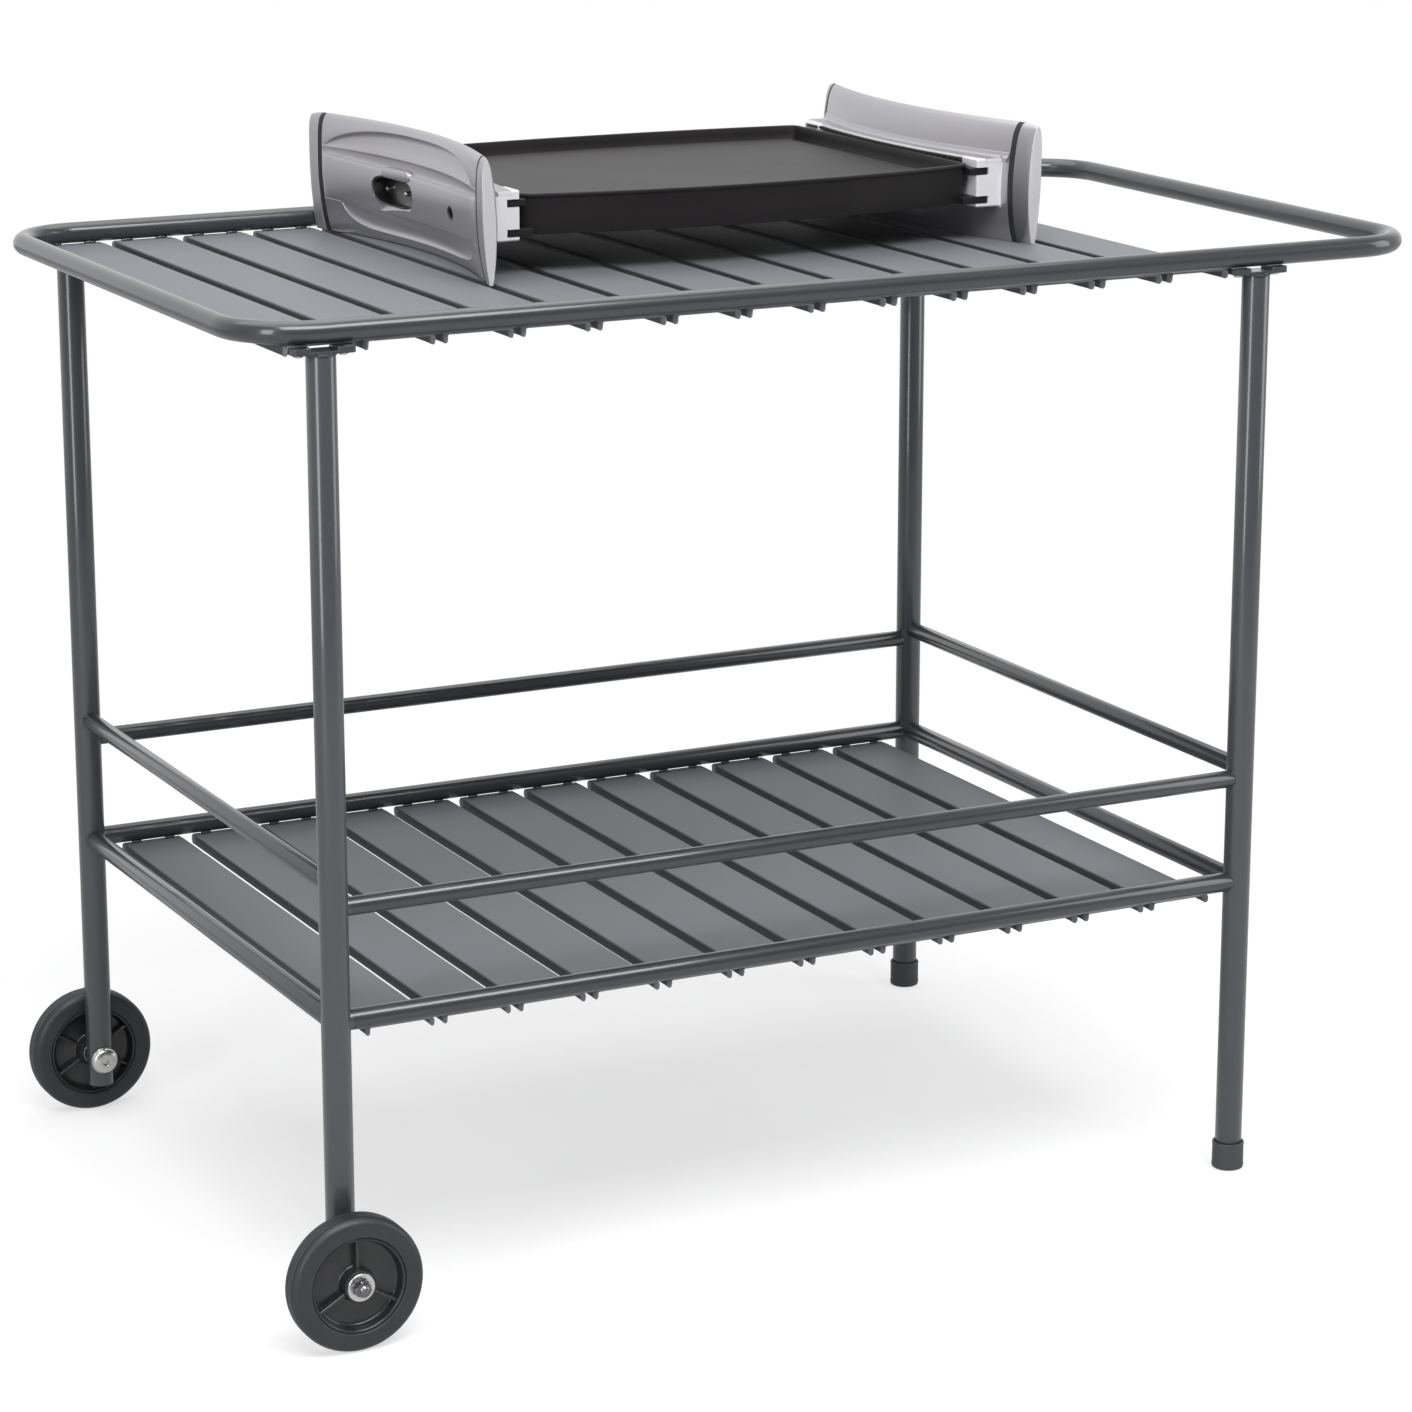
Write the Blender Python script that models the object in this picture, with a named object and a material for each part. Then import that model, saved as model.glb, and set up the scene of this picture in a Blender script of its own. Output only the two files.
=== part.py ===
import bpy
import bmesh
from math import asin, atan2, ceil, cos, pi, radians, sin, sqrt
from mathutils import Matrix, Vector

for old in list(bpy.data.objects):
    bpy.data.objects.remove(old, do_unlink=True)

# Everything is in metres: X along the cart, Y across it from front to back, Z up from the floor.
# The origin is on the floor, under the middle of the top ring.
GAP = 0.0003

# Tubes
LEG_R = 0.0125
RING_R = 0.0095
RAIL_R = 0.008
SHELF_TUBE_R = 0.009

# Plan, between tube axes
RING_L = 1.138
RING_BEND = 0.062
LEG_SPAN = 0.900
LEG_INSET = 0.061
LEG_Y = 0.309

# Heights of the tube axes
RING_Z = 0.865
LONG_RAIL_Z = 0.381
LEFT_RAIL_RISE = 0.019
RIGHT_RAIL_RISE = 0.010
SHELF_Z = 0.282

# Slats: roll-formed channels with both long edges turned down
SLAT_W = 0.060
SLAT_DEPTH = 0.009
SLAT_SHEET = 0.0012
SLAT_BEND = 0.0026
SLAT_NIP = 0.0035
SLAT_SHORT = 0.001
SEAT_DROP = 0.0004
SEAT_CLEAR = 0.002
DECK_PITCH = 0.0700
DECK_START = 0.0320
DECK_SLATS = 13
SHELF_PITCH = 0.0709
SHELF_SLATS = 12

# Legs
FLANGE_L = 0.055
FLANGE_W = 0.022
FLANGE_T = 0.0026
FLANGE_ROUND = 0.004
PAD_L = 0.017
PAD_H = 0.0030
WHEEL_LEG_END = 0.033

# Foot caps
CAP_R = 0.0150
CAP_H = 0.026
CAP_FLOOR = 0.003
CAP_EDGE = 0.0015

# Wheels
WHEEL_R = 0.060
TYRE_W = 0.026
TYRE_BORE = 0.0425
TYRE_ROUND = 0.008
TYRE_LIP = 0.0015
RIM_WALL = 0.004
RIM_W = 0.023
WEB_T = 0.004
BOSS_R = 0.0130
BOSS_HALF = 0.0140
BOSS_EDGE = 0.001
RIB_T = 0.0024
RIB_HALF = 0.0090
RIBS = 3

# Axle hardware
AXLE_R = 0.004
BORE_R = AXLE_R + GAP
WASHER_R = 0.0115
WASHER_T = 0.0016
NUT_ACROSS = 0.013
NUT_T = 0.0065
BOLT_HEAD_T = 0.0053
BOLT_HEAD_R = 0.0130
DOME_SHARES = ((0, 0.97), (0.4, 0.88), (0.75, 0.68), (1, 0.36))
BOLT_END = 0.003

# Griddle, set on the deck: U is out from its middle, V across the cart and W up from its base
GRIDDLE_FROM_LEGS = 0.5176
GRIDDLE_RING_GAP = 0.0025
STAND_OUT = 0.2744
STAND_BOW = 0.031
STAND_H = 0.111
STAND_HALF_V = 0.200
STAND_LEAN = 0.004
STAND_T = 0.0190
CAP_V = 0.026
CAP_NECK = 0.0050
CAP_NECK_INSET = 0.0012
CAP_TAPER = 0.0022
CAP_ROUND = 0.0008
LEDGE_U = 0.2410
LEDGE_BOW = 0.0150
LEDGE_W = 0.0775
LEDGE_T = 0.0034
GRIP_V = 0.010
GRIP_END = 0.012
GRIP_W = 0.0810
GRIP_CROWN = 0.0082
GRIP_DEPTH = 0.0052
PANEL_LOW = 0.0273
PANEL_TOP = 0.0686
PANEL_SWEEP = 0.0040
PANEL_OUT = 0.0028
PANEL_EDGE = 0.0012
COVE_W = 0.0086
COVE_END = 0.024
COVE_DEPTH = 0.0030
BRACKET_U = 0.2330
BRACKET_END = 0.0125
BRACKET_DEPTH = 0.022
BRACKET_LOW = 0.0315
BRACKET_HIGH = 0.0760
PRONG_U = 0.2440
PRONG_ROOT = 0.006
PRONG_BITE = 0.0036
PRONG_DEPTH = 0.016
PRONG_H = 0.0065
PRONG_LOW = 0.0360
PRONG_HIGH = 0.0625
INLET_V = 0.0535
INLET_W = 0.0500
INLET_HALF_V = 0.0395
INLET_HALF_W = 0.0139
INLET_DEPTH = 0.0085
INLET_WALL = 0.0015
INLET_PIN_R = 0.0022
INLET_PIN_FRONT = 0.015
INLET_PIN_BACK = 0.029

# Cast plate
PLATE_U = 0.2285
PLATE_END = 0.004
PLATE_SHIFT = 0.010
PLATE_FRONT_BOW = 0.030
PLATE_BACK_BOW = 0.015
PLATE_CORNER = 0.010
PLATE_TOP = 0.0725
PLATE_BASE = 0.0355
PLATE_DRAFT = 0.004
PLATE_EDGE = 0.0012
PLATE_WALL = 0.0045
PLATE_RECESS = 0.0105
PLATE_FALL = 0.004
GUTTER_W = 0.012
GUTTER_D = 0.0035

# Facet counts
RING_SIDES = 16
TUBE_SIDES = 24
CUT_SIDES = 40
HARDWARE_SIDES = 20
BEND_STEPS = 7
TYRE_STEPS = 36
PLATE_STEPS = 12
INLET_SIDES = 28
SHARP = radians(32)

# Derived places
RING_END = RING_L / 2
LEFT_X = LEG_INSET - RING_END
RIGHT_X = LEFT_X + LEG_SPAN
DECK_TOP = RING_Z - RING_R - GAP
SHELF_TOP = SHELF_Z - SHELF_TUBE_R - GAP
CHANNEL_TOP = DECK_TOP - SEAT_DROP - SLAT_SHEET - GAP
GRIDDLE_Z = DECK_TOP + GAP
SLAT_HALF = LEG_Y - SLAT_SHORT
SEAT_START = LEG_Y - RING_R - SEAT_CLEAR
WHEEL_OFF = LEG_R + GAP + WASHER_T + GAP + BOSS_HALF
LEFT_RAIL_Z = LONG_RAIL_Z + LEFT_RAIL_RISE
RIGHT_RAIL_Z = LONG_RAIL_Z + RIGHT_RAIL_RISE
GRIDDLE_X = LEFT_X + GRIDDLE_FROM_LEGS
GRIDDLE_Y = LEG_Y - RING_R - GRIDDLE_RING_GAP - STAND_HALF_V
BLADE_END_V = STAND_HALF_V - CAP_V
GRIP_HALF_V = BLADE_END_V - GRIP_END
GRIP_RISE = STAND_H - GRIP_CROWN - GRIP_W
COVE_HALF_V = BLADE_END_V - COVE_END
BRACKET_V = BLADE_END_V - BRACKET_END - BRACKET_DEPTH
PLATE_V = BLADE_END_V - PLATE_END


def material(name, colour, metallic, roughness):
    m = bpy.data.materials.new(name)
    m.use_nodes = True
    shader = m.node_tree.nodes["Principled BSDF"]
    shader.inputs["Base Color"].default_value = (*colour, 1.0)
    shader.inputs["Metallic"].default_value = metallic
    shader.inputs["Roughness"].default_value = roughness
    return m


PAINT = material("graphite_paint", (0.090, 0.096, 0.106), 0.35, 0.42)
SLAT_PAINT = material("slat_paint", (0.150, 0.158, 0.172), 0.30, 0.45)
CAP_PLASTIC = material("foot_plastic", (0.045, 0.048, 0.052), 0.0, 0.50)
TYRE_RUBBER = material("tyre_rubber", (0.040, 0.042, 0.046), 0.0, 0.55)
WHEEL_PLASTIC = material("wheel_plastic", (0.032, 0.034, 0.037), 0.0, 0.45)
ZINC = material("zinc_steel", (0.640, 0.640, 0.630), 1.0, 0.30)
STAND_SHELL = material("stand_shell", (0.440, 0.440, 0.455), 0.50, 0.38)
STAND_CAP = material("stand_end_cap", (0.560, 0.560, 0.580), 0.40, 0.40)
INLET_PLASTIC = material("inlet_plastic", (0.012, 0.012, 0.013), 0.0, 0.35)
PLATE_COAT = material("plate_coating", (0.036, 0.034, 0.034), 0.20, 0.48)


def finish(name, bm, mat):
    """Makes the node's object from the finished mesh, with normals outwards and hard edges kept."""
    bmesh.ops.remove_doubles(bm, verts=bm.verts, dist=GAP / 1000)
    bmesh.ops.recalc_face_normals(bm, faces=bm.faces)
    mesh = bpy.data.meshes.new(name)
    bm.to_mesh(mesh)
    bm.free()
    mesh.polygons.foreach_set("use_smooth", [True] * len(mesh.polygons))
    mesh.set_sharp_from_angle(angle=SHARP)
    obj = bpy.data.objects.new(name, mesh)
    bpy.context.scene.collection.objects.link(obj)
    mesh.materials.append(mat)
    return obj


def loft(bm, loops, close_path=False):
    """Skins a row of loops that all have the same number of points."""
    rows = [[bm.verts.new(p) for p in loop] for loop in loops]
    count = len(rows[0])
    pairs = list(zip(rows, rows[1:]))
    if close_path:
        pairs.append((rows[-1], rows[0]))
    for a, b in pairs:
        for i in range(count):
            j = (i + 1) % count
            bm.faces.new((a[i], a[j], b[j], b[i]))
    if not close_path:
        bm.faces.new(rows[0])
        bm.faces.new(rows[-1])
    return rows


def circle(centre, u, v, radius, sides):
    return [centre + (u * cos(2 * pi * k / sides) + v * sin(2 * pi * k / sides)) * radius for k in range(sides)]


def rod(name, start, end, radius, sides, mat):
    """A straight round bar between two points."""
    along = (end - start).normalized()
    side = Vector((0, 0, 1)) if abs(along.z) < cos(pi / 4) else Vector((1, 0, 0))
    v = along.cross(side).normalized()
    u = v.cross(along)
    bm = bmesh.new()
    loft(bm, [circle(start, u, v, radius, sides), circle(end, u, v, radius, sides)])
    return finish(name, bm, mat)


def lathe(name, profile, centre, sides, mat):
    """Turns a closed profile of (radius, distance along Y) about an axis parallel to Y."""
    bm = bmesh.new()
    loops = []
    for k in range(sides):
        a = 2 * pi * k / sides
        ray = Vector((cos(a), 0, sin(a)))
        loops.append([centre + ray * r + Vector((0, y, 0)) for r, y in profile])
    loft(bm, loops, close_path=True)
    return finish(name, bm, mat)


def block(name, low, high, mat):
    bm = bmesh.new()
    loops = []
    for z in (low.z, high.z):
        loops.append([Vector((low.x, low.y, z)), Vector((high.x, low.y, z)), Vector((high.x, high.y, z)),
                      Vector((low.x, high.y, z))])
    loft(bm, loops)
    return finish(name, bm, mat)


def combine(obj, others, operation):
    """Joins the other solids to obj, or cuts them from it, and takes them away."""
    for other in others:
        m = obj.modifiers.new(other.name, "BOOLEAN")
        m.operation = operation
        m.solver = "EXACT"
        m.object = other
    depsgraph = bpy.context.evaluated_depsgraph_get()
    made = bpy.data.meshes.new_from_object(obj.evaluated_get(depsgraph))
    obj.modifiers.clear()
    bm = bmesh.new()
    bm.from_mesh(made)
    bpy.data.meshes.remove(made)
    bmesh.ops.remove_doubles(bm, verts=bm.verts, dist=GAP / 100)
    bmesh.ops.dissolve_limit(bm, angle_limit=radians(0.2), verts=bm.verts, edges=bm.edges)
    bm.to_mesh(obj.data)
    bm.free()
    obj.data.polygons.foreach_set("use_smooth", [True] * len(obj.data.polygons))
    obj.data.set_sharp_from_angle(angle=SHARP)
    for other in others:
        bpy.data.objects.remove(other, do_unlink=True)
    return obj


# Top ring: one bent tube with four rounded corners; its right end, past the last slat, is the handle
def ring_path():
    path = []
    corners = ((RING_END, LEG_Y, 0), (-RING_END, LEG_Y, 1), (-RING_END, -LEG_Y, 2), (RING_END, -LEG_Y, 3))
    for x, y, quarter in corners:
        cx = x - RING_BEND if x > 0 else x + RING_BEND
        cy = y - RING_BEND if y > 0 else y + RING_BEND
        for step in range(BEND_STEPS + 1):
            a = pi / 2 * (quarter + step / BEND_STEPS)
            path.append((Vector((cx + RING_BEND * cos(a), cy + RING_BEND * sin(a), RING_Z)),
                         Vector((cos(a), sin(a), 0))))
    return path


bm = bmesh.new()
loft(bm, [circle(p, out, Vector((0, 0, 1)), RING_R, RING_SIDES) for p, out in ring_path()], close_path=True)
finish("top_ring", bm, PAINT)


# Slats, each with its channel section and nipped flange ends
def slat_section(left, top, y, nip):
    right = left + SLAT_W
    low = top - SLAT_DEPTH + nip
    outer = [(left, low)]
    for k in range(3):
        a = pi - pi / 4 * k
        outer.append((left + SLAT_BEND + SLAT_BEND * cos(a), top - SLAT_BEND + SLAT_BEND * sin(a)))
    for k in range(3):
        a = pi / 2 - pi / 4 * k
        outer.append((right - SLAT_BEND + SLAT_BEND * cos(a), top - SLAT_BEND + SLAT_BEND * sin(a)))
    outer.append((right, low))
    inner = [(right - SLAT_SHEET, low), (right - SLAT_SHEET, top - SLAT_SHEET),
             (left + SLAT_SHEET, top - SLAT_SHEET), (left + SLAT_SHEET, low)]
    return [Vector((x, y, z)) for x, z in outer + inner]


def slat(name, left, top):
    """A channel whose flat top dips a little at both ends, where it runs under the tubes."""
    end = ((SLAT_HALF, SEAT_DROP, SLAT_NIP), (SLAT_HALF - SLAT_NIP, SEAT_DROP, 0), (SEAT_START, 0, 0))
    stations = [(-y, drop, nip) for y, drop, nip in end] + list(reversed(end))
    bm = bmesh.new()
    loft(bm, [slat_section(left, top - drop, y, nip) for y, drop, nip in stations])
    finish(name, bm, SLAT_PAINT)


for k in range(DECK_SLATS):
    slat("deck_slat_%02d" % (k + 1), DECK_START - RING_END + DECK_PITCH * k, DECK_TOP)
shelf_first = (LEFT_X + RIGHT_X - (SHELF_SLATS - 1) * SHELF_PITCH - SLAT_W) / 2
for k in range(SHELF_SLATS):
    slat("shelf_slat_%02d" % (k + 1), shelf_first + SHELF_PITCH * k, SHELF_TOP)


# Legs: a tube with a flange plate welded on its top, held off the deck by a pad under each screw.
# The left pair is cross-drilled for the axles.
def flange(name, x, y, top):
    bm = bmesh.new()
    loops = []
    for z in (top - PAD_H - FLANGE_T, top - PAD_H):
        loop = []
        for quarter, (sx, sy) in enumerate(((1, 1), (-1, 1), (-1, -1), (1, -1))):
            cx = x + sx * (FLANGE_L / 2 - FLANGE_ROUND)
            cy = y + sy * (FLANGE_W / 2 - FLANGE_ROUND)
            for step in range(4):
                a = pi / 2 * (quarter + step / 3)
                loop.append(Vector((cx + FLANGE_ROUND * cos(a), cy + FLANGE_ROUND * sin(a), z)))
        loops.append(loop)
    loft(bm, loops)
    return finish(name, bm, PAINT)


def pad(name, x, y, top, side):
    near = x + side * FLANGE_L / 2
    far = near - side * PAD_L
    half = Vector((0, FLANGE_W / 2 - FLANGE_ROUND / 4, 0))
    return block(name, Vector((min(near, far), y, top - PAD_H - FLANGE_T / 2)) - half,
                 Vector((max(near, far), y, top)) + half, PAINT)


def leg(name, x, y, bottom, top, drilled):
    tube = rod(name, Vector((x, y, bottom)), Vector((x, y, top - PAD_H - FLANGE_T / 2)), LEG_R, TUBE_SIDES, PAINT)
    pads = [pad("%s_pad_%d" % (name, side), x, y, top, side) for side in (-1, 1)]
    combine(tube, [flange(name + "_flange", x, y, top)] + pads, "UNION")
    if drilled:
        reach = Vector((0, 2 * LEG_R, 0))
        axle = Vector((x, y, WHEEL_R))
        combine(tube, [rod("drill", axle - reach, axle + reach, BORE_R / cos(pi / HARDWARE_SIDES),
                            HARDWARE_SIDES, PAINT)], "DIFFERENCE")


leg("front_left_leg", LEFT_X, -LEG_Y, WHEEL_LEG_END, CHANNEL_TOP, True)
leg("back_left_leg", LEFT_X, LEG_Y, WHEEL_LEG_END, CHANNEL_TOP, True)
leg("front_right_leg", RIGHT_X, -LEG_Y, CAP_FLOOR + GAP, DECK_TOP, False)
leg("back_right_leg", RIGHT_X, LEG_Y, CAP_FLOOR + GAP, DECK_TOP, False)


# Shelf tubes and guard rails, with both ends coped round the legs they meet
def coped(name, start, end, radius):
    tube = rod(name, start, end, radius, TUBE_SIDES, PAINT)
    cutters = []
    for k, p in enumerate((start, end)):
        low = Vector((p.x, p.y, p.z - 2 * radius))
        high = Vector((p.x, p.y, p.z + 2 * radius))
        cutters.append(rod("%s_cope_%d" % (name, k), low, high, (LEG_R + GAP) / cos(pi / CUT_SIDES), CUT_SIDES, PAINT))
    return combine(tube, cutters, "DIFFERENCE")


for side, y in (("front", -LEG_Y), ("back", LEG_Y)):
    for label, z, radius in (("shelf_tube", SHELF_Z, SHELF_TUBE_R), ("guard_rail", LONG_RAIL_Z, RAIL_R)):
        coped("%s_%s" % (side, label), Vector((LEFT_X, y, z)), Vector((RIGHT_X, y, z)), radius)
for side, x, rail_z in (("left", LEFT_X, LEFT_RAIL_Z), ("right", RIGHT_X, RIGHT_RAIL_Z)):
    for label, z, radius in (("shelf_tube", SHELF_Z, SHELF_TUBE_R), ("guard_rail", rail_z, RAIL_R)):
        coped("%s_%s" % (side, label), Vector((x, -LEG_Y, z)), Vector((x, LEG_Y, z)), radius)


# Foot caps: moulded cups pushed over the ends of the right legs
def foot_cap(name, y):
    outer = [(CAP_R - CAP_EDGE, 0), (CAP_R, CAP_EDGE), (CAP_R, CAP_H - CAP_EDGE), (CAP_R - CAP_EDGE, CAP_H)]
    inner = [((LEG_R + GAP) / cos(pi / TUBE_SIDES), CAP_H), ((LEG_R + GAP) / cos(pi / TUBE_SIDES), CAP_FLOOR)]
    bm = bmesh.new()
    loft(bm, [circle(Vector((RIGHT_X, y, z)), Vector((1, 0, 0)), Vector((0, 1, 0)), r, TUBE_SIDES)
              for r, z in outer + inner])
    finish(name, bm, CAP_PLASTIC)


foot_cap("front_foot_cap", -LEG_Y)
foot_cap("back_foot_cap", LEG_Y)


# Wheels: a solid rubber tyre on a ribbed plastic centre, turning on a bolt through the leg
def wheel(side, sign):
    centre = Vector((LEFT_X, sign * (LEG_Y + WHEEL_OFF), WHEEL_R))
    half = TYRE_W / 2
    tyre = [(TYRE_BORE, -half + TYRE_LIP), (TYRE_BORE + TYRE_LIP, -half), (WHEEL_R - TYRE_ROUND, -half)]
    for k in range(1, 3):
        a = pi / 2 * k / 3
        tyre.append((WHEEL_R - TYRE_ROUND + TYRE_ROUND * sin(a), TYRE_ROUND - half - TYRE_ROUND * cos(a)))
    tyre.append((WHEEL_R, TYRE_ROUND - half))
    tyre += [(r, -y) for r, y in reversed(tyre)]
    lathe("%s_tyre" % side, tyre, centre, TYRE_STEPS, TYRE_RUBBER)

    rim = TYRE_BORE - GAP
    bore = BORE_R / cos(pi / TYRE_STEPS)
    lip = rim - RIM_WALL
    body = [(bore, -BOSS_HALF), (BOSS_R - BOSS_EDGE, -BOSS_HALF), (BOSS_R, BOSS_EDGE - BOSS_HALF),
            (BOSS_R, -WEB_T / 2), (lip, -WEB_T / 2), (lip, -RIM_W / 2), (rim, -RIM_W / 2)]
    body += [(r, -y) for r, y in reversed(body)]
    made = lathe("%s_wheel_centre" % side, body, centre, TYRE_STEPS, WHEEL_PLASTIC)
    ribs = []
    for k in range(RIBS):
        rib = block("%s_rib_%d" % (side, k), Vector((BOSS_R - BOSS_EDGE, -RIB_HALF, -RIB_T / 2)),
                    Vector((rim - RIM_WALL / 2, RIB_HALF, RIB_T / 2)), WHEEL_PLASTIC)
        turn = Matrix.Rotation(pi / 2 - 2 * pi * k / RIBS, 4, "Y").inverted()
        rib.data.transform(Matrix.Translation(centre) @ turn)
        ribs.append(rib)
    combine(made, ribs, "UNION")


# Axle hardware: bolt with its washer against the leg, a spacer washer, an end washer and a nut
def hexagon(centre, across, thick, direction):
    return [[centre + Vector((cos(pi / 3 * k) * across / sqrt(3), y, sin(pi / 3 * k) * across / sqrt(3)))
             for k in range(6)] for y in (0, direction * thick)]


def axle(side, sign):
    centre = Vector((LEFT_X, sign * LEG_Y, WHEEL_R))
    out = Vector((0, sign, 0))
    hole = BORE_R / cos(pi / HARDWARE_SIDES)
    spacer = LEG_R + GAP + WASHER_T / 2
    washer = [(hole, -WASHER_T / 2), (WASHER_R, -WASHER_T / 2), (WASHER_R, WASHER_T / 2), (hole, WASHER_T / 2)]
    lathe("%s_spacer_washer" % side, washer, centre + out * spacer, HARDWARE_SIDES, ZINC)
    end = WHEEL_OFF + BOSS_HALF + GAP + WASHER_T / 2
    lathe("%s_end_washer" % side, washer, centre + out * end, HARDWARE_SIDES, ZINC)
    seat = end + WASHER_T / 2 + GAP
    bm = bmesh.new()
    loft(bm, hexagon(centre + out * seat, NUT_ACROSS, NUT_T, sign))
    nut = finish("%s_axle_nut" % side, bm, ZINC)
    nut_middle = centre + out * (seat + NUT_T / 2)
    combine(nut, [rod("tap", nut_middle - out * NUT_T, nut_middle + out * NUT_T, hole, HARDWARE_SIDES, ZINC)],
            "DIFFERENCE")
    head = LEG_R + GAP
    bolt = rod("%s_axle_bolt" % side, centre - out * head, centre + out * (seat + NUT_T + BOLT_END), AXLE_R,
               HARDWARE_SIDES, ZINC)
    dome = [(head, 1), (head + WASHER_T, 1)]
    dome += [(head + WASHER_T + BOLT_HEAD_T * rise, reach) for rise, reach in DOME_SHARES]
    bm = bmesh.new()
    loft(bm, [circle(centre - out * d, Vector((1, 0, 0)), Vector((0, 0, 1)), BOLT_HEAD_R * reach, HARDWARE_SIDES)
              for d, reach in dome])
    combine(bolt, [finish("head", bm, ZINC)], "UNION")


for side, sign in (("front", -1), ("back", 1)):
    wheel(side, sign)
    axle(side, sign)

# Griddle stands: blades with a lens-shaped section, bowed inwards in plan. The outer face runs from a hollow cove
# over a bulging panel to a ridge and the arched grip above it. The inner face has a ledge and two notched brackets
# that carry the plate's prongs.
HEIGHT_SHARES = (0, 0.06, 0.16, 0.30, 0.45, 0.60, 0.71, 0.77, 0.83, 0.89, 0.94, 0.985)
THICK_SHARES = (0.26, 0.45, 0.69, 0.89, 1.0, 0.98, 0.91, 0.86, 0.79, 0.69, 0.53, 0.26)
COVE_SHARES = ((0.12, 0.5), (0.45, 1.0), (0.85, 0.5))
PANEL_SHARES = ((0, 0.55), (0.3, 1.0), (0.65, 1.15), (1, 0.85))
GRIP_SHARES = ((0.08, 0.6), (0.45, 1.0), (0.90, 0.5))
LEAST_SHARE = 0.03
BLADE_HALF = STAND_T / 2
STAND_STATIONS = 18


def blade_middle(v):
    return STAND_OUT - STAND_BOW * (1 - (v / STAND_HALF_V) ** 2)


def blade_face(v, w, side):
    """The plain lens: how far out the outer (side 1) or inner (side -1) face is at this place."""
    height = w / STAND_H
    k = 0
    while k < len(HEIGHT_SHARES) - 2 and height > HEIGHT_SHARES[k + 1]:
        k += 1
    run = (height - HEIGHT_SHARES[k]) / (HEIGHT_SHARES[k + 1] - HEIGHT_SHARES[k])
    thick = THICK_SHARES[k] + run * (THICK_SHARES[k + 1] - THICK_SHARES[k])
    return blade_middle(v) + STAND_LEAN * height * height + side * BLADE_HALF * thick


def outer_relief(v):
    """The outer face's heights at v, each with its distance out from the plain lens."""
    sweep = PANEL_SWEEP * (v / COVE_HALF_V) ** 2
    low = PANEL_LOW + sweep
    high = PANEL_TOP + sweep
    open_cove = max(LEAST_SHARE, sqrt(max(0.0, 1 - abs(v / COVE_HALF_V) ** 6)))
    cove = (low - COVE_W) * open_cove
    reach = min(1.0, abs((v - GRIP_V) / GRIP_HALF_V))
    open_grip = max(LEAST_SHARE, (1 - reach ** 3) ** 0.65)
    points = [(0, 0), (low - cove, 0)]
    points += [(low - cove + cove * a, -COVE_DEPTH * open_cove * d) for a, d in COVE_SHARES]
    points.append((low, 0))
    edge = low + PANEL_EDGE
    points += [(edge + (high - PANEL_EDGE / 2 - edge) * a, PANEL_OUT * d) for a, d in PANEL_SHARES]
    points += [(high, -PANEL_EDGE / 2), (GRIP_W - PANEL_EDGE, -PANEL_EDGE / 2), (GRIP_W, 0)]
    points += [(GRIP_W + GRIP_RISE * open_grip * a, -GRIP_DEPTH * open_grip * d) for a, d in GRIP_SHARES]
    points.append((GRIP_W + GRIP_RISE * open_grip, 0))
    return points + [(STAND_H * share, 0) for share in HEIGHT_SHARES[-2:]]


def at(sign, u, v, w):
    return Vector((GRIDDLE_X + sign * u, GRIDDLE_Y + v, GRIDDLE_Z + w))


def griddle_block(name, sign, u, v, w, mat):
    a = at(sign, u[0], v[0], w[0])
    b = at(sign, u[1], v[1], w[1])
    low = Vector([min(p, q) for p, q in zip(a, b)])
    high = Vector([max(p, q) for p, q in zip(a, b)])
    return block(name, low, high, mat)


def stand(side, sign):
    loops = []
    for k in range(STAND_STATIONS + 1):
        v = BLADE_END_V * (2 * k / STAND_STATIONS - 1)
        outer = [(blade_face(v, w, 1) + out, w) for w, out in outer_relief(v)]
        above = [STAND_H * share for share in reversed(HEIGHT_SHARES) if STAND_H * share > LEDGE_W + LEDGE_T]
        below = [STAND_H * share for share in reversed(HEIGHT_SHARES) if STAND_H * share < LEDGE_W - 2 * LEDGE_T]
        tip = LEDGE_U - LEDGE_BOW * (1 - (v / BLADE_END_V) ** 2)
        inner = [(blade_face(v, w, -1), w) for w in above + [LEDGE_W]]
        inner += [(tip, LEDGE_W), (tip, LEDGE_W - LEDGE_T)]
        inner += [(blade_face(v, w, -1), w) for w in [LEDGE_W - LEDGE_T] + below]
        section = outer + [(blade_middle(v) + STAND_LEAN, STAND_H)] + inner
        loops.append([at(sign, u, v, w) for u, w in section])
    bm = bmesh.new()
    loft(bm, loops)
    shell = finish("%s_stand" % side, bm, STAND_SHELL)
    joined = []
    notches = []
    for end in (-1, 1):
        v = (end * BRACKET_V, end * (BRACKET_V + BRACKET_DEPTH))
        root = (blade_middle(v[0]) + blade_middle(v[1])) / 2
        joined.append(griddle_block("bracket", sign, (BRACKET_U, root), v, (BRACKET_LOW, BRACKET_HIGH), STAND_SHELL))
        for level in (PRONG_LOW, PRONG_HIGH):
            notch_v = (v[0] - end * BRACKET_DEPTH, v[1] + end * BRACKET_DEPTH)
            notches.append(griddle_block("notch", sign, (BRACKET_U - PRONG_H, PRONG_U + GAP), notch_v,
                                         (level - GAP, level + PRONG_H + GAP), STAND_SHELL))
    combine(shell, joined, "UNION")
    if side == "left":
        bm = bmesh.new()
        loft(bm, [oval_loop(INLET_HALF_V + GAP, INLET_HALF_W + GAP, u=u) for u in (STAND_OUT, inlet_floor() - GAP)])
        notches.append(finish("inlet_pocket", bm, STAND_SHELL))
    combine(shell, notches, "DIFFERENCE")


def inlet_floor():
    return blade_middle(INLET_V) + BLADE_HALF - INLET_DEPTH


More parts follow.
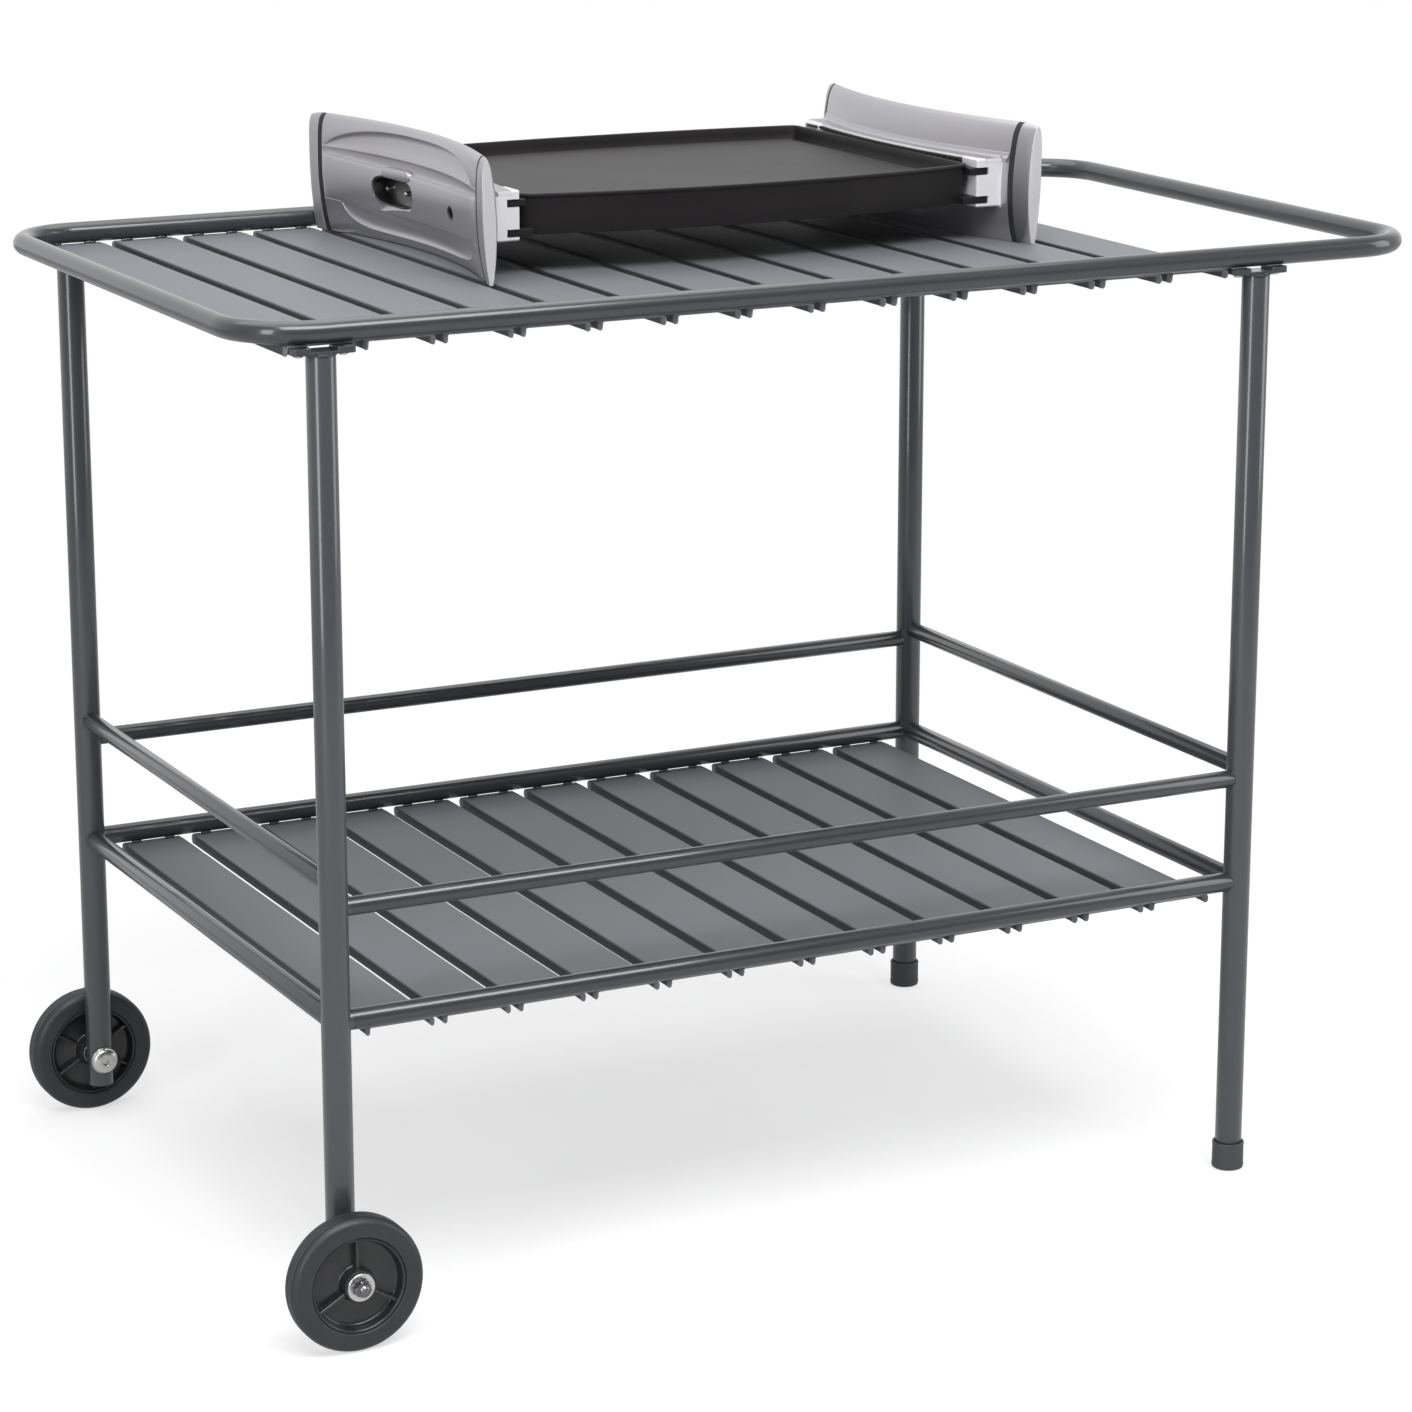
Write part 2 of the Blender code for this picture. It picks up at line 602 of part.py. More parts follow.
def oval_loop(half_v, half_w, u=0.0, below=0.0):
    """An oval round the inlet, flat at u, or else this far below the blade's bowed face."""
    loop = []
    for k in range(INLET_SIDES):
        a = 2 * pi * k / INLET_SIDES
        c, s = cos(a), sin(a)
        stretch = (abs(c) ** 3 + abs(s) ** 3) ** (-1 / 3)
        v = INLET_V + half_v * c * stretch
        loop.append(at(-1, u or blade_middle(v) + BLADE_HALF - below, v, INLET_W + half_w * s * stretch))
    return loop


for side, sign in (("left", -1), ("right", 1)):
    stand(side, sign)

# Power inlet: a moulded cup with two contact pins, let into the left stand
bm = bmesh.new()
hollow_v = INLET_HALF_V - INLET_WALL
hollow_w = INLET_HALF_W - INLET_WALL
loft(bm, [oval_loop(INLET_HALF_V, INLET_HALF_W, u=inlet_floor()),
          oval_loop(INLET_HALF_V, INLET_HALF_W, below=INLET_WALL), oval_loop(hollow_v, hollow_w, below=INLET_WALL),
          oval_loop(hollow_v, hollow_w, u=inlet_floor() + INLET_WALL)])
cup = finish("power_inlet", bm, INLET_PLASTIC)
pins = []
for k, v in enumerate((-INLET_PIN_FRONT, INLET_PIN_BACK)):
    root = at(-1, inlet_floor() + INLET_WALL / 2, INLET_V + v, INLET_W)
    tip = at(-1, blade_middle(INLET_V) + BLADE_HALF - 2 * INLET_WALL, INLET_V + v, INLET_W)
    pins.append(rod("inlet_pin_%d" % k, root, tip, INLET_PIN_R, 12, INLET_PLASTIC))
combine(cup, pins, "UNION")


# End caps: they carry the blade's section on past a narrow neck and taper it to a lens-shaped end face
def end_cap(name, sign, end):
    inner_v = BLADE_END_V + GAP
    stations = ((inner_v, CAP_NECK_INSET), (inner_v + CAP_NECK, CAP_NECK_INSET), (inner_v + CAP_NECK, 0),
                (STAND_HALF_V - CAP_V / 3, CAP_TAPER / 2), (STAND_HALF_V - CAP_ROUND, CAP_TAPER),
                (STAND_HALF_V, CAP_TAPER + CAP_ROUND))
    loops = []
    for v, inset in stations:
        squeeze = 1 - inset / BLADE_HALF
        drop = 1 - inset / STAND_H
        outer = []
        inner = []
        for share in HEIGHT_SHARES:
            w = STAND_H * share
            faces = (blade_face(v, w, 1), blade_face(v, w, -1))
            centre = (faces[0] + faces[1]) / 2
            outer.append((centre + (faces[0] - centre) * squeeze, w * drop))
            inner.append((centre + (faces[1] - centre) * squeeze, w * drop))
        section = outer + [(blade_middle(v) + STAND_LEAN, STAND_H * drop)] + inner[::-1]
        loops.append([at(sign, u, end * v, w) for u, w in section])
    bm = bmesh.new()
    loft(bm, loops)
    finish(name, bm, STAND_CAP)


for side, sign in (("left", -1), ("right", 1)):
    end_cap("%s_stand_front_cap" % side, sign, -1)
    end_cap("%s_stand_back_cap" % side, sign, 1)


# Plate: a casting with a raised rim, drafted walls bowed at front and back, a gutter and eight prongs
def plate_outline(inset, w):
    half_u = PLATE_U - inset
    half_v = PLATE_V - inset
    corner = max(PLATE_CORNER - inset, PLATE_EDGE)
    loop = []
    for quarter, (su, sv) in enumerate(((1, 1), (-1, 1), (-1, -1), (1, -1))):
        cu = su * (half_u - corner)
        cv = sv * (half_v - corner)
        for step in range(5):
            a = pi / 2 * (quarter + step / 4)
            loop.append((cu + corner * cos(a), cv + corner * sin(a)))
        if quarter in (0, 2):
            for step in range(1, PLATE_STEPS):
                loop.append((cu - su * (2 * (half_u - corner)) * step / PLATE_STEPS, sv * half_v))
    points = []
    for u, v in loop:
        bow = (PLATE_BACK_BOW if v > 0 else PLATE_FRONT_BOW) * max(0.0, 1 - (u / half_u) ** 2) * (v / half_v)
        points.append(at(1, u, v + bow + PLATE_SHIFT, w))
    return points


bm = bmesh.new()
floor_w = PLATE_TOP - PLATE_RECESS
loft(bm, [plate_outline(PLATE_DRAFT, PLATE_BASE), plate_outline(PLATE_EDGE, PLATE_TOP - PLATE_FALL),
          plate_outline(0, PLATE_TOP - PLATE_FALL + PLATE_EDGE), plate_outline(0, PLATE_TOP - PLATE_EDGE),
          plate_outline(PLATE_EDGE, PLATE_TOP), plate_outline(PLATE_WALL, PLATE_TOP),
          plate_outline(PLATE_WALL + PLATE_EDGE, floor_w - GUTTER_D),
          plate_outline(PLATE_WALL + GUTTER_W, floor_w - GUTTER_D),
          plate_outline(PLATE_WALL + GUTTER_W + GUTTER_D, floor_w)])
plate = finish("griddle_plate", bm, PLATE_COAT)
prongs = []
for sign in (-1, 1):
    for end in (-1, 1):
        middle = end * (BRACKET_V + BRACKET_DEPTH / 2)
        for level, root in ((PRONG_LOW, PLATE_U - PLATE_DRAFT - PRONG_ROOT), (PRONG_HIGH, PLATE_U - PRONG_BITE)):
            prongs.append(griddle_block("prong", sign, (root, PRONG_U),
                                        (middle - PRONG_DEPTH / 2, middle + PRONG_DEPTH / 2),
                                        (level, level + PRONG_H), PLATE_COAT))
combine(plate, prongs, "UNION")

# Every piece gets its own origin in its middle, which puts a wheel's on its axle's line. The wheels and the
# griddle then hang on an empty each, the part that turns or lifts.
for obj in list(bpy.data.objects):
    corners = [Vector(c) for c in obj.bound_box]
    middle = (corners[0] + corners[6]) / 2
    obj.data.transform(Matrix.Translation(-middle))
    obj.location = middle


def carry(name, place, pieces):
    holder = bpy.data.objects.new(name, None)
    bpy.context.scene.collection.objects.link(holder)
    holder.location = place
    holder.empty_display_size = WHEEL_R
    for obj in pieces:
        obj.location -= place
        obj.parent = holder


for side, sign in (("front", -1), ("back", 1)):
    turning = [bpy.data.objects["%s_tyre" % side], bpy.data.objects["%s_wheel_centre" % side]]
    carry("%s_wheel_axis" % side, Vector((LEFT_X, sign * (LEG_Y + WHEEL_OFF), WHEEL_R)), turning)
lifting = [obj for obj in bpy.data.objects if "_stand" in obj.name or obj.name in ("griddle_plate", "power_inlet")]
carry("griddle_seat", Vector((GRIDDLE_X, GRIDDLE_Y, GRIDDLE_Z)), lifting)
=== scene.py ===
import bmesh
import bpy
from math import cos, pi, radians, sin, sqrt
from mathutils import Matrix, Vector


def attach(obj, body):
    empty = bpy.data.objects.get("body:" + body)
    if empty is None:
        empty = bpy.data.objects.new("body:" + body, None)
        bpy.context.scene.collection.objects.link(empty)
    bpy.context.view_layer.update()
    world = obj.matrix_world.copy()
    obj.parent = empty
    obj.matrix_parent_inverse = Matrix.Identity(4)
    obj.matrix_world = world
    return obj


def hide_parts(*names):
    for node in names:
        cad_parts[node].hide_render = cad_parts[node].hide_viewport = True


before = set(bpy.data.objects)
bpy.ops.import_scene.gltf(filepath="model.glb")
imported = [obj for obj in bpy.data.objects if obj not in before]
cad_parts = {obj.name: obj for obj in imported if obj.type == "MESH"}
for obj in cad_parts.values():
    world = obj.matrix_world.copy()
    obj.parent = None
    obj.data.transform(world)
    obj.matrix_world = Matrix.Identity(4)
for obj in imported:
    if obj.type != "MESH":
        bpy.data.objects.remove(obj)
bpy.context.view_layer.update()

# The viewpoint: a long lens in front of the cart's wheeled end, a little above the deck, and tilted down so
# that the whole cart is in the frame without a shift.
CAMERA_PLACE = (-1.7774, -3.4825, 1.4361)
CAMERA_TILT = 14.517
CAMERA_TURN = 26.997
CAMERA_LENS = 109.307
camera = bpy.data.objects.new("camera", bpy.data.cameras.new("camera"))
bpy.context.scene.collection.objects.link(camera)
camera.location = CAMERA_PLACE
camera.rotation_euler = (radians(90 - CAMERA_TILT), 0, radians(-CAMERA_TURN))
camera.data.sensor_width = 36
camera.data.lens = CAMERA_LENS
camera.data.clip_start = 0.05
bpy.context.scene.camera = camera


# The studio: a pale floor that keeps the cart's soft shadow, a white surround, one broad lamp over the
# front, a tall one at the wheeled end for the bright line down each leg, and a weak one at the handle.
def put(tree, socket, value):
    """Links a value to a socket, or writes a number or colour on it."""
    if isinstance(value, Value):
        tree.links.new(value.socket, socket)
    elif socket.type == "RGBA" and len(value) == 3:
        socket.default_value = (*value, 1.0)
    else:
        socket.default_value = value


class Value:
    """A socket of a node tree, so that sums on it can be written as Python."""

    def __init__(self, tree, socket):
        self.tree = tree
        self.socket = socket

    def math(self, operation, *values):
        node = self.tree.nodes.new("ShaderNodeMath")
        node.operation = operation
        for socket, value in zip(node.inputs, values):
            put(self.tree, socket, value)
        return Value(self.tree, node.outputs[0])

    def __add__(self, other):
        return self.math("ADD", self, other)

    __radd__ = __add__

    def __sub__(self, other):
        return self.math("SUBTRACT", self, other)

    def __rsub__(self, other):
        return self.math("SUBTRACT", other, self)

    def __mul__(self, other):
        return self.math("MULTIPLY", self, other)

    def __truediv__(self, other):
        return self.math("DIVIDE", self, other)

    def __pow__(self, other):
        return self.math("POWER", self, other)

    def size(self):
        return self.math("ABSOLUTE", self)

    def least(self, other):
        return self.math("MINIMUM", self, other)

    def most(self, other):
        return self.math("MAXIMUM", self, other)

    def above(self, edge, soft):
        """0 below the edge and 1 above it, over a soft step."""
        return (((self - edge) / soft) + 0.5).most(0.0).least(1.0)

    def below(self, edge, soft):
        """1 below the edge and 0 above it, over a soft step."""
        return (self * -1.0).above(-edge, soft)

    def within(self, reach, soft):
        """1 nearer to nought than the reach and 0 farther out, over a soft step."""
        return self.size().below(reach, soft)


class Shading:
    """The node tree of a material or of the world."""

    def __init__(self, tree):
        self.tree = tree

    def node(self, kind, settings, output, **values):
        """Adds a node with its settings and its sockets' values, and gives back the output that is named."""
        node = self.tree.nodes.new(kind)
        for name, value in settings.items():
            setattr(node, name, value)
        for name, value in values.items():
            sockets = [s for s in node.inputs if s.name == name.replace("_", " ") and s.enabled]
            put(self.tree, sockets[0], value)
        outputs = [s for s in node.outputs if s.name == output and s.enabled]
        return Value(self.tree, outputs[0])


class Finish(Shading):
    """A material with its shader, to which a piece's section adds what the real surface shows."""

    def __init__(self, name, colour, metallic, roughness, **sockets):
        self.material = bpy.data.materials.new(name)
        self.material.use_nodes = True
        super().__init__(self.material.node_tree)
        self.shader = self.tree.nodes["Principled BSDF"]
        self.set("Base Color", colour)
        self.set("Metallic", metallic)
        self.set("Roughness", roughness)
        for socket, value in sockets.items():
            self.set(socket.replace("_", " "), value)
        self.place = self.node("ShaderNodeTexCoord", {}, "Object")

    def set(self, socket, value):
        put(self.tree, self.shader.inputs[socket], value)

    def axes(self):
        return [self.node("ShaderNodeSeparateXYZ", {}, axis, Vector=self.place) for axis in "XYZ"]

    def stretched(self, scale):
        return self.node("ShaderNodeMapping", {}, "Vector", Vector=self.place, Scale=scale)

    def noise(self, scale, detail=2.0, rough=0.5, where=None):
        return self.node("ShaderNodeTexNoise", {"noise_dimensions": "3D"}, "Fac", Vector=where or self.place,
                         Scale=scale, Detail=detail, Roughness=rough)

    def mix(self, share, a, b):
        return self.node("ShaderNodeMix", {"data_type": "RGBA"}, "Result", Factor=share, A=a, B=b)

    def bump(self, height, strength, distance):
        self.set("Normal", self.node("ShaderNodeBump", {}, "Normal", Height=height, Strength=strength,
                                     Distance=distance))


# The surround is white to the camera and dim as a lamp, and in reflections it is brighter behind the cart.
MIRROR_FRONT = 0.12
MIRROR_RISE = 0.83
SURROUND_LIGHT = 0.15
world = bpy.data.worlds.new("studio")
bpy.context.scene.world = world
world.use_nodes = True
surround = Shading(world.node_tree)
background = surround.tree.nodes["Background"]
seen = surround.node("ShaderNodeLightPath", {}, "Is Camera Ray")
seen = seen.most(surround.node("ShaderNodeLightPath", {}, "Is Transmission Ray"))
glossy = surround.node("ShaderNodeLightPath", {}, "Is Glossy Ray")
toward = surround.node("ShaderNodeTexCoord", {}, "Generated")
behind = surround.node("ShaderNodeSeparateXYZ", {}, "Y", Vector=toward).above(0.15, 1.1)
strength = seen.most(glossy * (MIRROR_FRONT + behind * MIRROR_RISE)).most(SURROUND_LIGHT)
put(surround.tree, background.inputs["Color"], (1.0, 1.0, 1.0))
put(surround.tree, background.inputs["Strength"], strength)


def lamp(name, place, aim, width, height, watts):
    """A rectangular area lamp, turned to what it aims at."""
    light = bpy.data.lights.new(name, "AREA")
    light.shape = "RECTANGLE"
    light.size = width
    light.size_y = height
    light.energy = watts
    obj = bpy.data.objects.new(name, light)
    bpy.context.scene.collection.objects.link(obj)
    obj.location = place
    obj.rotation_euler = (Vector(aim) - Vector(place)).to_track_quat("-Z", "Y").to_euler()


lamp("overhead lamp", (-0.4, -2.2, 3.4), (0.0, 0.0, 0.5), 3.2, 1.6, 130)
lamp("ceiling", (-0.2, 0.6, 3.6), (-0.1, 0.0, 0.0), 4.2, 2.6, 60)
lamp("wheel end lamp", (-3.5, -2.3, 1.6), (0.0, 0.0, 0.7), 1.0, 2.6, 50)
lamp("handle end lamp", (3.2, -1.6, 1.6), (0.0, 0.0, 0.5), 1.6, 2.4, 34)


def distance(x, y):
    """How far a place lies from nought on the floor."""
    return (x * x + y * y) ** 0.5


# The floor shows its own colour under the cart and plain white farther off. To the camera some white is
# mixed in under the cart too, which keeps the shadow pale, and reflections see the floor grey.
FLOOR_SIZE = 14
UNDER_CART = -0.2
WHITE_UNDER_CART = 0.46
WHITE_IN_MIRRORS = 0.60
GLOW_UNDER_CART = 1.36
GLOW_IN_MIRRORS = 0.50
bpy.ops.mesh.primitive_plane_add(size=FLOOR_SIZE, location=(0, 0, -0.0004))
floor = bpy.context.object
floor.name = "studio_floor"
pale = Finish("studio floor", (0.86, 0.86, 0.87), 0.0, 0.9)
x, y, z = pale.axes()
far = distance(x, y).above(3.6, 3.4)
clear = distance(x - UNDER_CART, y).above(1.35, 1.2)
seen = pale.node("ShaderNodeLightPath", {}, "Is Camera Ray")
mirrored = pale.node("ShaderNodeLightPath", {}, "Is Glossy Ray")
glow = GLOW_UNDER_CART - clear.most(far) * (GLOW_UNDER_CART - 1.0)
glow = (1.0 - mirrored) * glow + mirrored * GLOW_IN_MIRRORS
white = pale.node("ShaderNodeEmission", {}, "Emission", Color=(1.0, 1.0, 1.0), Strength=glow)
share = WHITE_UNDER_CART + clear * (1.0 - WHITE_UNDER_CART)
share = far.most(seen * share).most(mirrored * WHITE_IN_MIRRORS)
blend = pale.node("ShaderNodeMixShader", {}, "Shader", Fac=share)
put(pale.tree, blend.socket.node.inputs[1], Value(pale.tree, pale.shader.outputs[0]))
put(pale.tree, blend.socket.node.inputs[2], white)
put(pale.tree, pale.tree.nodes["Material Output"].inputs["Surface"], blend)
floor.data.materials.append(pale.material)

# Top ring and the other tubes: drawn steel tube, bent cold for the ring, under one coat of graphite powder
# paint. The paint has a faint orange peel and a slow change in gloss; the legs carry painted light, a
# lighter base colour for the light they catch.
RING_LENGTH = 1.138
RING_WIDTH = 0.618
RING_BEND = 0.062
RING_HEIGHT = 0.865
RING_TUBE = 0.0095
RAIL_TUBE = 0.008
SHELF_TUBE = 0.009
LEG_TUBE = 0.0125
LEFT_LEG = -0.508
RIGHT_LEG = 0.392
LEG_ROW = RING_WIDTH / 2
LEG_MIDDLE = (LEFT_LEG + RIGHT_LEG) / 2
LEG_SPREAD = (RIGHT_LEG - LEFT_LEG) / 2
CORNERS = ((1, 1), (-1, 1), (-1, -1), (1, -1))

graphite = Finish("graphite paint", (0.030, 0.033, 0.038), 0.10, 0.34, Coat_Weight=0.80, Coat_Roughness=0.10)
cloud = graphite.noise(7.0, 3.0)
fine = graphite.noise(900.0, 2.0)
x, y, z = graphite.axes()
# Painted light: the legs get a lighter base colour than the other tubes, for the light they catch.
leg_painted_light = ((x - LEG_MIDDLE).size() - LEG_SPREAD).within(LEG_TUBE + 0.0003, 0.0004)
leg_painted_light = leg_painted_light * (y.size() - LEG_ROW).within(LEG_TUBE + 0.0003, 0.0004) * z.below(0.846, 0.002)
level = graphite.mix(cloud.above(0.5, 0.7), (0.027, 0.030, 0.035), (0.035, 0.038, 0.044))
graphite.set("Base Color", graphite.mix(leg_painted_light, level, (0.050, 0.055, 0.062)))
graphite.set("Roughness", 0.29 + cloud * 0.08 + fine * 0.05)
graphite.bump(graphite.noise(420.0, 2.0) * 0.7 + fine * 0.3, 0.10, 0.0004)


def piece(name, bm, finish, body, replaced=(), smooth=40):
    """Makes the mesh an object that rides on its body and stands for the solids it replaces."""
    bmesh.ops.remove_doubles(bm, verts=bm.verts, dist=0.000004)
    bmesh.ops.delete(bm, geom=[edge for edge in bm.edges if not edge.link_faces], context="EDGES")
    bmesh.ops.recalc_face_normals(bm, faces=bm.faces)
    mesh = bpy.data.meshes.new(name)
    bm.to_mesh(mesh)
    bm.free()
    mesh.polygons.foreach_set("use_smooth", [True] * len(mesh.polygons))
    mesh.set_sharp_from_angle(angle=radians(smooth))
    mesh.materials.append(finish.material)
    obj = bpy.data.objects.new(name, mesh)
    bpy.context.scene.collection.objects.link(obj)
    if body:
        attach(obj, body)
    if replaced:
        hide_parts(*replaced)
    return obj


def skin(bm, loops, closed=False):
    """Skins a row of closed loops, and closes its ends or joins the last loop to the first."""
    rows = [[bm.verts.new(p) for p in loop] for loop in loops]
    pairs = list(zip(rows, rows[1:]))
    if closed:
        pairs.append((rows[-1], rows[0]))
    count = len(rows[0])
    for a, b in pairs:
        for i in range(count):
            j = (i + 1) % count
            bm.faces.new((a[i], a[j], b[j], b[i]))
    if not closed:
        bm.faces.new(rows[0])
        bm.faces.new(rows[-1])


def skinned(loops, closed=False):
    """A new mesh, skinned over the loops."""
    bm = bmesh.new()
    skin(bm, loops, closed)
    return bm


def hoop(centre, u, v, radius, sides):
    """A circle of points round the centre, in the plane of u and v."""
    turns = [2 * pi * k / sides for k in range(sides)]
    return [centre + (u * cos(a) + v * sin(a)) * radius for a in turns]


def tube(bm, start, end, radius, sides=40, edge=0.0006):
    """A straight tube with a small round on each end."""
    along = (end - start).normalized()
    u = along.orthogonal().normalized()
    v = along.cross(u)
    length = (end - start).length
    stations = [(0, radius - edge), (edge * 0.3, radius - edge * 0.3), (edge, radius)]
    stations += [(length - d, r) for d, r in reversed(stations)]
    skin(bm, [hoop(start + along * d, u, v, r, sides) for d, r in stations])


loops = []
steps = 14
for quarter, (sx, sy) in enumerate(CORNERS):
    middle = Vector((sx * (RING_LENGTH / 2 - RING_BEND), sy * (RING_WIDTH / 2 - RING_BEND), RING_HEIGHT))
    for k in range(steps + 1):
        a = pi / 2 * (quarter + k / steps)
        out = Vector((cos(a), sin(a), 0))
        loops.append(hoop(middle + out * RING_BEND, out, Vector((0, 0, 1)), RING_TUBE, 48))
piece("ring_tube", skinned(loops, closed=True), graphite, "cart", ["top_ring"])

# Shelf tubes and guard rails: straight steel tubes between the legs, their ends shaped to the legs' round
# and welded on. The two long rails lie level, and the end rails a little higher.
SHELF_HEIGHT = 0.282
LONG_RAIL = 0.381
LEFT_RAIL = 0.400
RIGHT_RAIL = 0.391
INTO_LEG = LEG_TUBE * 0.62

bars = []
for side, y in (("front", -LEG_ROW), ("back", LEG_ROW)):
    for label, z, radius in (("shelf_tube", SHELF_HEIGHT, SHELF_TUBE), ("guard_rail", LONG_RAIL, RAIL_TUBE)):
        ends = [Vector((x, y, z)) for x in (LEFT_LEG + INTO_LEG, RIGHT_LEG - INTO_LEG)]
        bars.append(("%s_%s" % (side, label), ends, radius))
for side, x, rail in (("left", LEFT_LEG, LEFT_RAIL), ("right", RIGHT_LEG, RIGHT_RAIL)):
    for label, z, radius in (("shelf_tube", SHELF_HEIGHT, SHELF_TUBE), ("guard_rail", rail, RAIL_TUBE)):
        ends = [Vector((x, y, z)) for y in (INTO_LEG - LEG_ROW, LEG_ROW - INTO_LEG)]
        bars.append(("%s_%s" % (side, label), ends, radius))
for name, ends, radius in bars:
    bm = bmesh.new()
    tube(bm, *ends, radius)
    piece(name + "_bar", bm, graphite, "cart", [name])

# Legs: round tube, with a flange plate welded on top and held to the deck by two screws through its pads.
# The left pair ends short and carries the wheels, and the right pair stands in foot caps.
DECK_TOP = 0.8552
SLAT_SHEET = 0.0012
FLANGE_LENGTH = 0.055
FLANGE_WIDTH = 0.022
FLANGE_THICK = 0.0026
FLANGE_CORNER = 0.004
PAD_LENGTH = 0.017
PAD_HEIGHT = 0.0030
SEAT = 0.0003
SLAT_DIP = 0.0004
LEFT_LEG_END = 0.033
RIGHT_LEG_END = 0.0033
LEFT_LEG_TOP = DECK_TOP - SLAT_DIP - SLAT_SHEET - SEAT


def rounded(x, y, length, width, corner, z):
    """A rectangle with round corners, as a loop."""
    loop = []
    for quarter, (sx, sy) in enumerate(CORNERS):
        for k in range(7):
            a = pi / 2 * (quarter + k / 6)
            loop.append(Vector((x + sx * (length / 2 - corner) + corner * cos(a),
                                y + sy * (width / 2 - corner) + corner * sin(a), z)))
    return loop


def slab(bm, x, y, length, width, corner, low, high, edge):
    """A rounded plate with its edges broken."""
    skin(bm, [rounded(x, y, length - 2 * edge, width - 2 * edge, corner - edge, low),
              rounded(x, y, length, width, corner, low + edge),
              rounded(x, y, length, width, corner, high - edge),
              rounded(x, y, length - 2 * edge, width - 2 * edge, corner - edge, high)])


leg_places = (("front_left_leg", LEFT_LEG, -LEG_ROW, LEFT_LEG_END, LEFT_LEG_TOP),
              ("back_left_leg", LEFT_LEG, LEG_ROW, LEFT_LEG_END, LEFT_LEG_TOP),
              ("front_right_leg", RIGHT_LEG, -LEG_ROW, RIGHT_LEG_END, DECK_TOP),
              ("back_right_leg", RIGHT_LEG, LEG_ROW, RIGHT_LEG_END, DECK_TOP))
flange_weld = ((-0.0004, -0.0020), (-0.0004, 0.0), (0.0004, 0.0011), (0.0012, 0.0009), (0.0018, 0.0))
for name, x, y, bottom, top in leg_places:
    bm = bmesh.new()
    flange_low = top - PAD_HEIGHT - FLANGE_THICK
    tube(bm, Vector((x, y, bottom)), Vector((x, y, flange_low + 0.001)), LEG_TUBE, 48, 0.0008)
    slab(bm, x, y, FLANGE_LENGTH, FLANGE_WIDTH, FLANGE_CORNER, flange_low, top - PAD_HEIGHT, 0.0005)
    for side in (-1, 1):
        pad = x + side * (FLANGE_LENGTH - PAD_LENGTH) / 2
        slab(bm, pad, y, PAD_LENGTH, FLANGE_WIDTH, FLANGE_CORNER, top - PAD_HEIGHT - 0.0008, top, 0.0004)
    skin(bm, [hoop(Vector((x, y, flange_low - d)), Vector((1, 0, 0)), Vector((0, 1, 0)), LEG_TUBE + r, 48)
              for d, r in flange_weld])
    piece(name + "_post", bm, graphite, "cart", [name])

# Deck and shelf slats: galvanised strip roll-formed into shallow channels, painted, the ends of their
# turned-down edges rounded off, and tacked to the tubes from below.
SLAT_WIDTH = 0.060
SLAT_DEPTH = 0.009
SLAT_ROUND = 0.0026
SLAT_HALF = 0.308
SLAT_SIDE = 0.0057
SIDE_REACH = 0.0051
TUBES_NEAR = 0.300
LIP_ROUND = 0.0048
DIP_START = 0.2975
DIP_RUN = 0.007
DECK_FIRST = -0.537
DECK_PITCH = 0.0700
DECK_COUNT = 13
SHELF_TOP = 0.2727
SHELF_FIRST = -0.47795
SHELF_PITCH = 0.0709
SHELF_COUNT = 12

slat_paint = Finish("slat paint", (0.170, 0.179, 0.195), 0.0, 0.44, Specular_IOR_Level=0.30)
x, y, z = slat_paint.axes()
cloud = slat_paint.noise(5.0, 3.0)
rolled = slat_paint.noise(1.0, 2.0, where=slat_paint.stretched((260.0, 2.5, 260.0)))
fine = slat_paint.noise(850.0, 2.0)
facing = slat_paint.mix(cloud.above(0.5, 0.8), (0.158, 0.166, 0.182), (0.184, 0.193, 0.209))
# Painted shade: the slats' turned-down sides are darkened where they face the gaps between slats.
gap_shade = (z - (DECK_TOP - SLAT_SIDE)).within(SIDE_REACH, 0.0009)
gap_shade = gap_shade.most((z - (SHELF_TOP - SLAT_SIDE)).within(SIDE_REACH, 0.0009)) * y.within(TUBES_NEAR, 0.004)
slat_paint.set("Base Color", slat_paint.mix(gap_shade, facing, (0.040, 0.043, 0.048)))
slat_paint.set("Roughness", 0.42 + cloud * 0.10 + fine * 0.06)
slat_paint.bump(slat_paint.noise(400.0, 2.0) * 0.5 + fine * 0.2 + rolled * 0.3, 0.10, 0.0004)


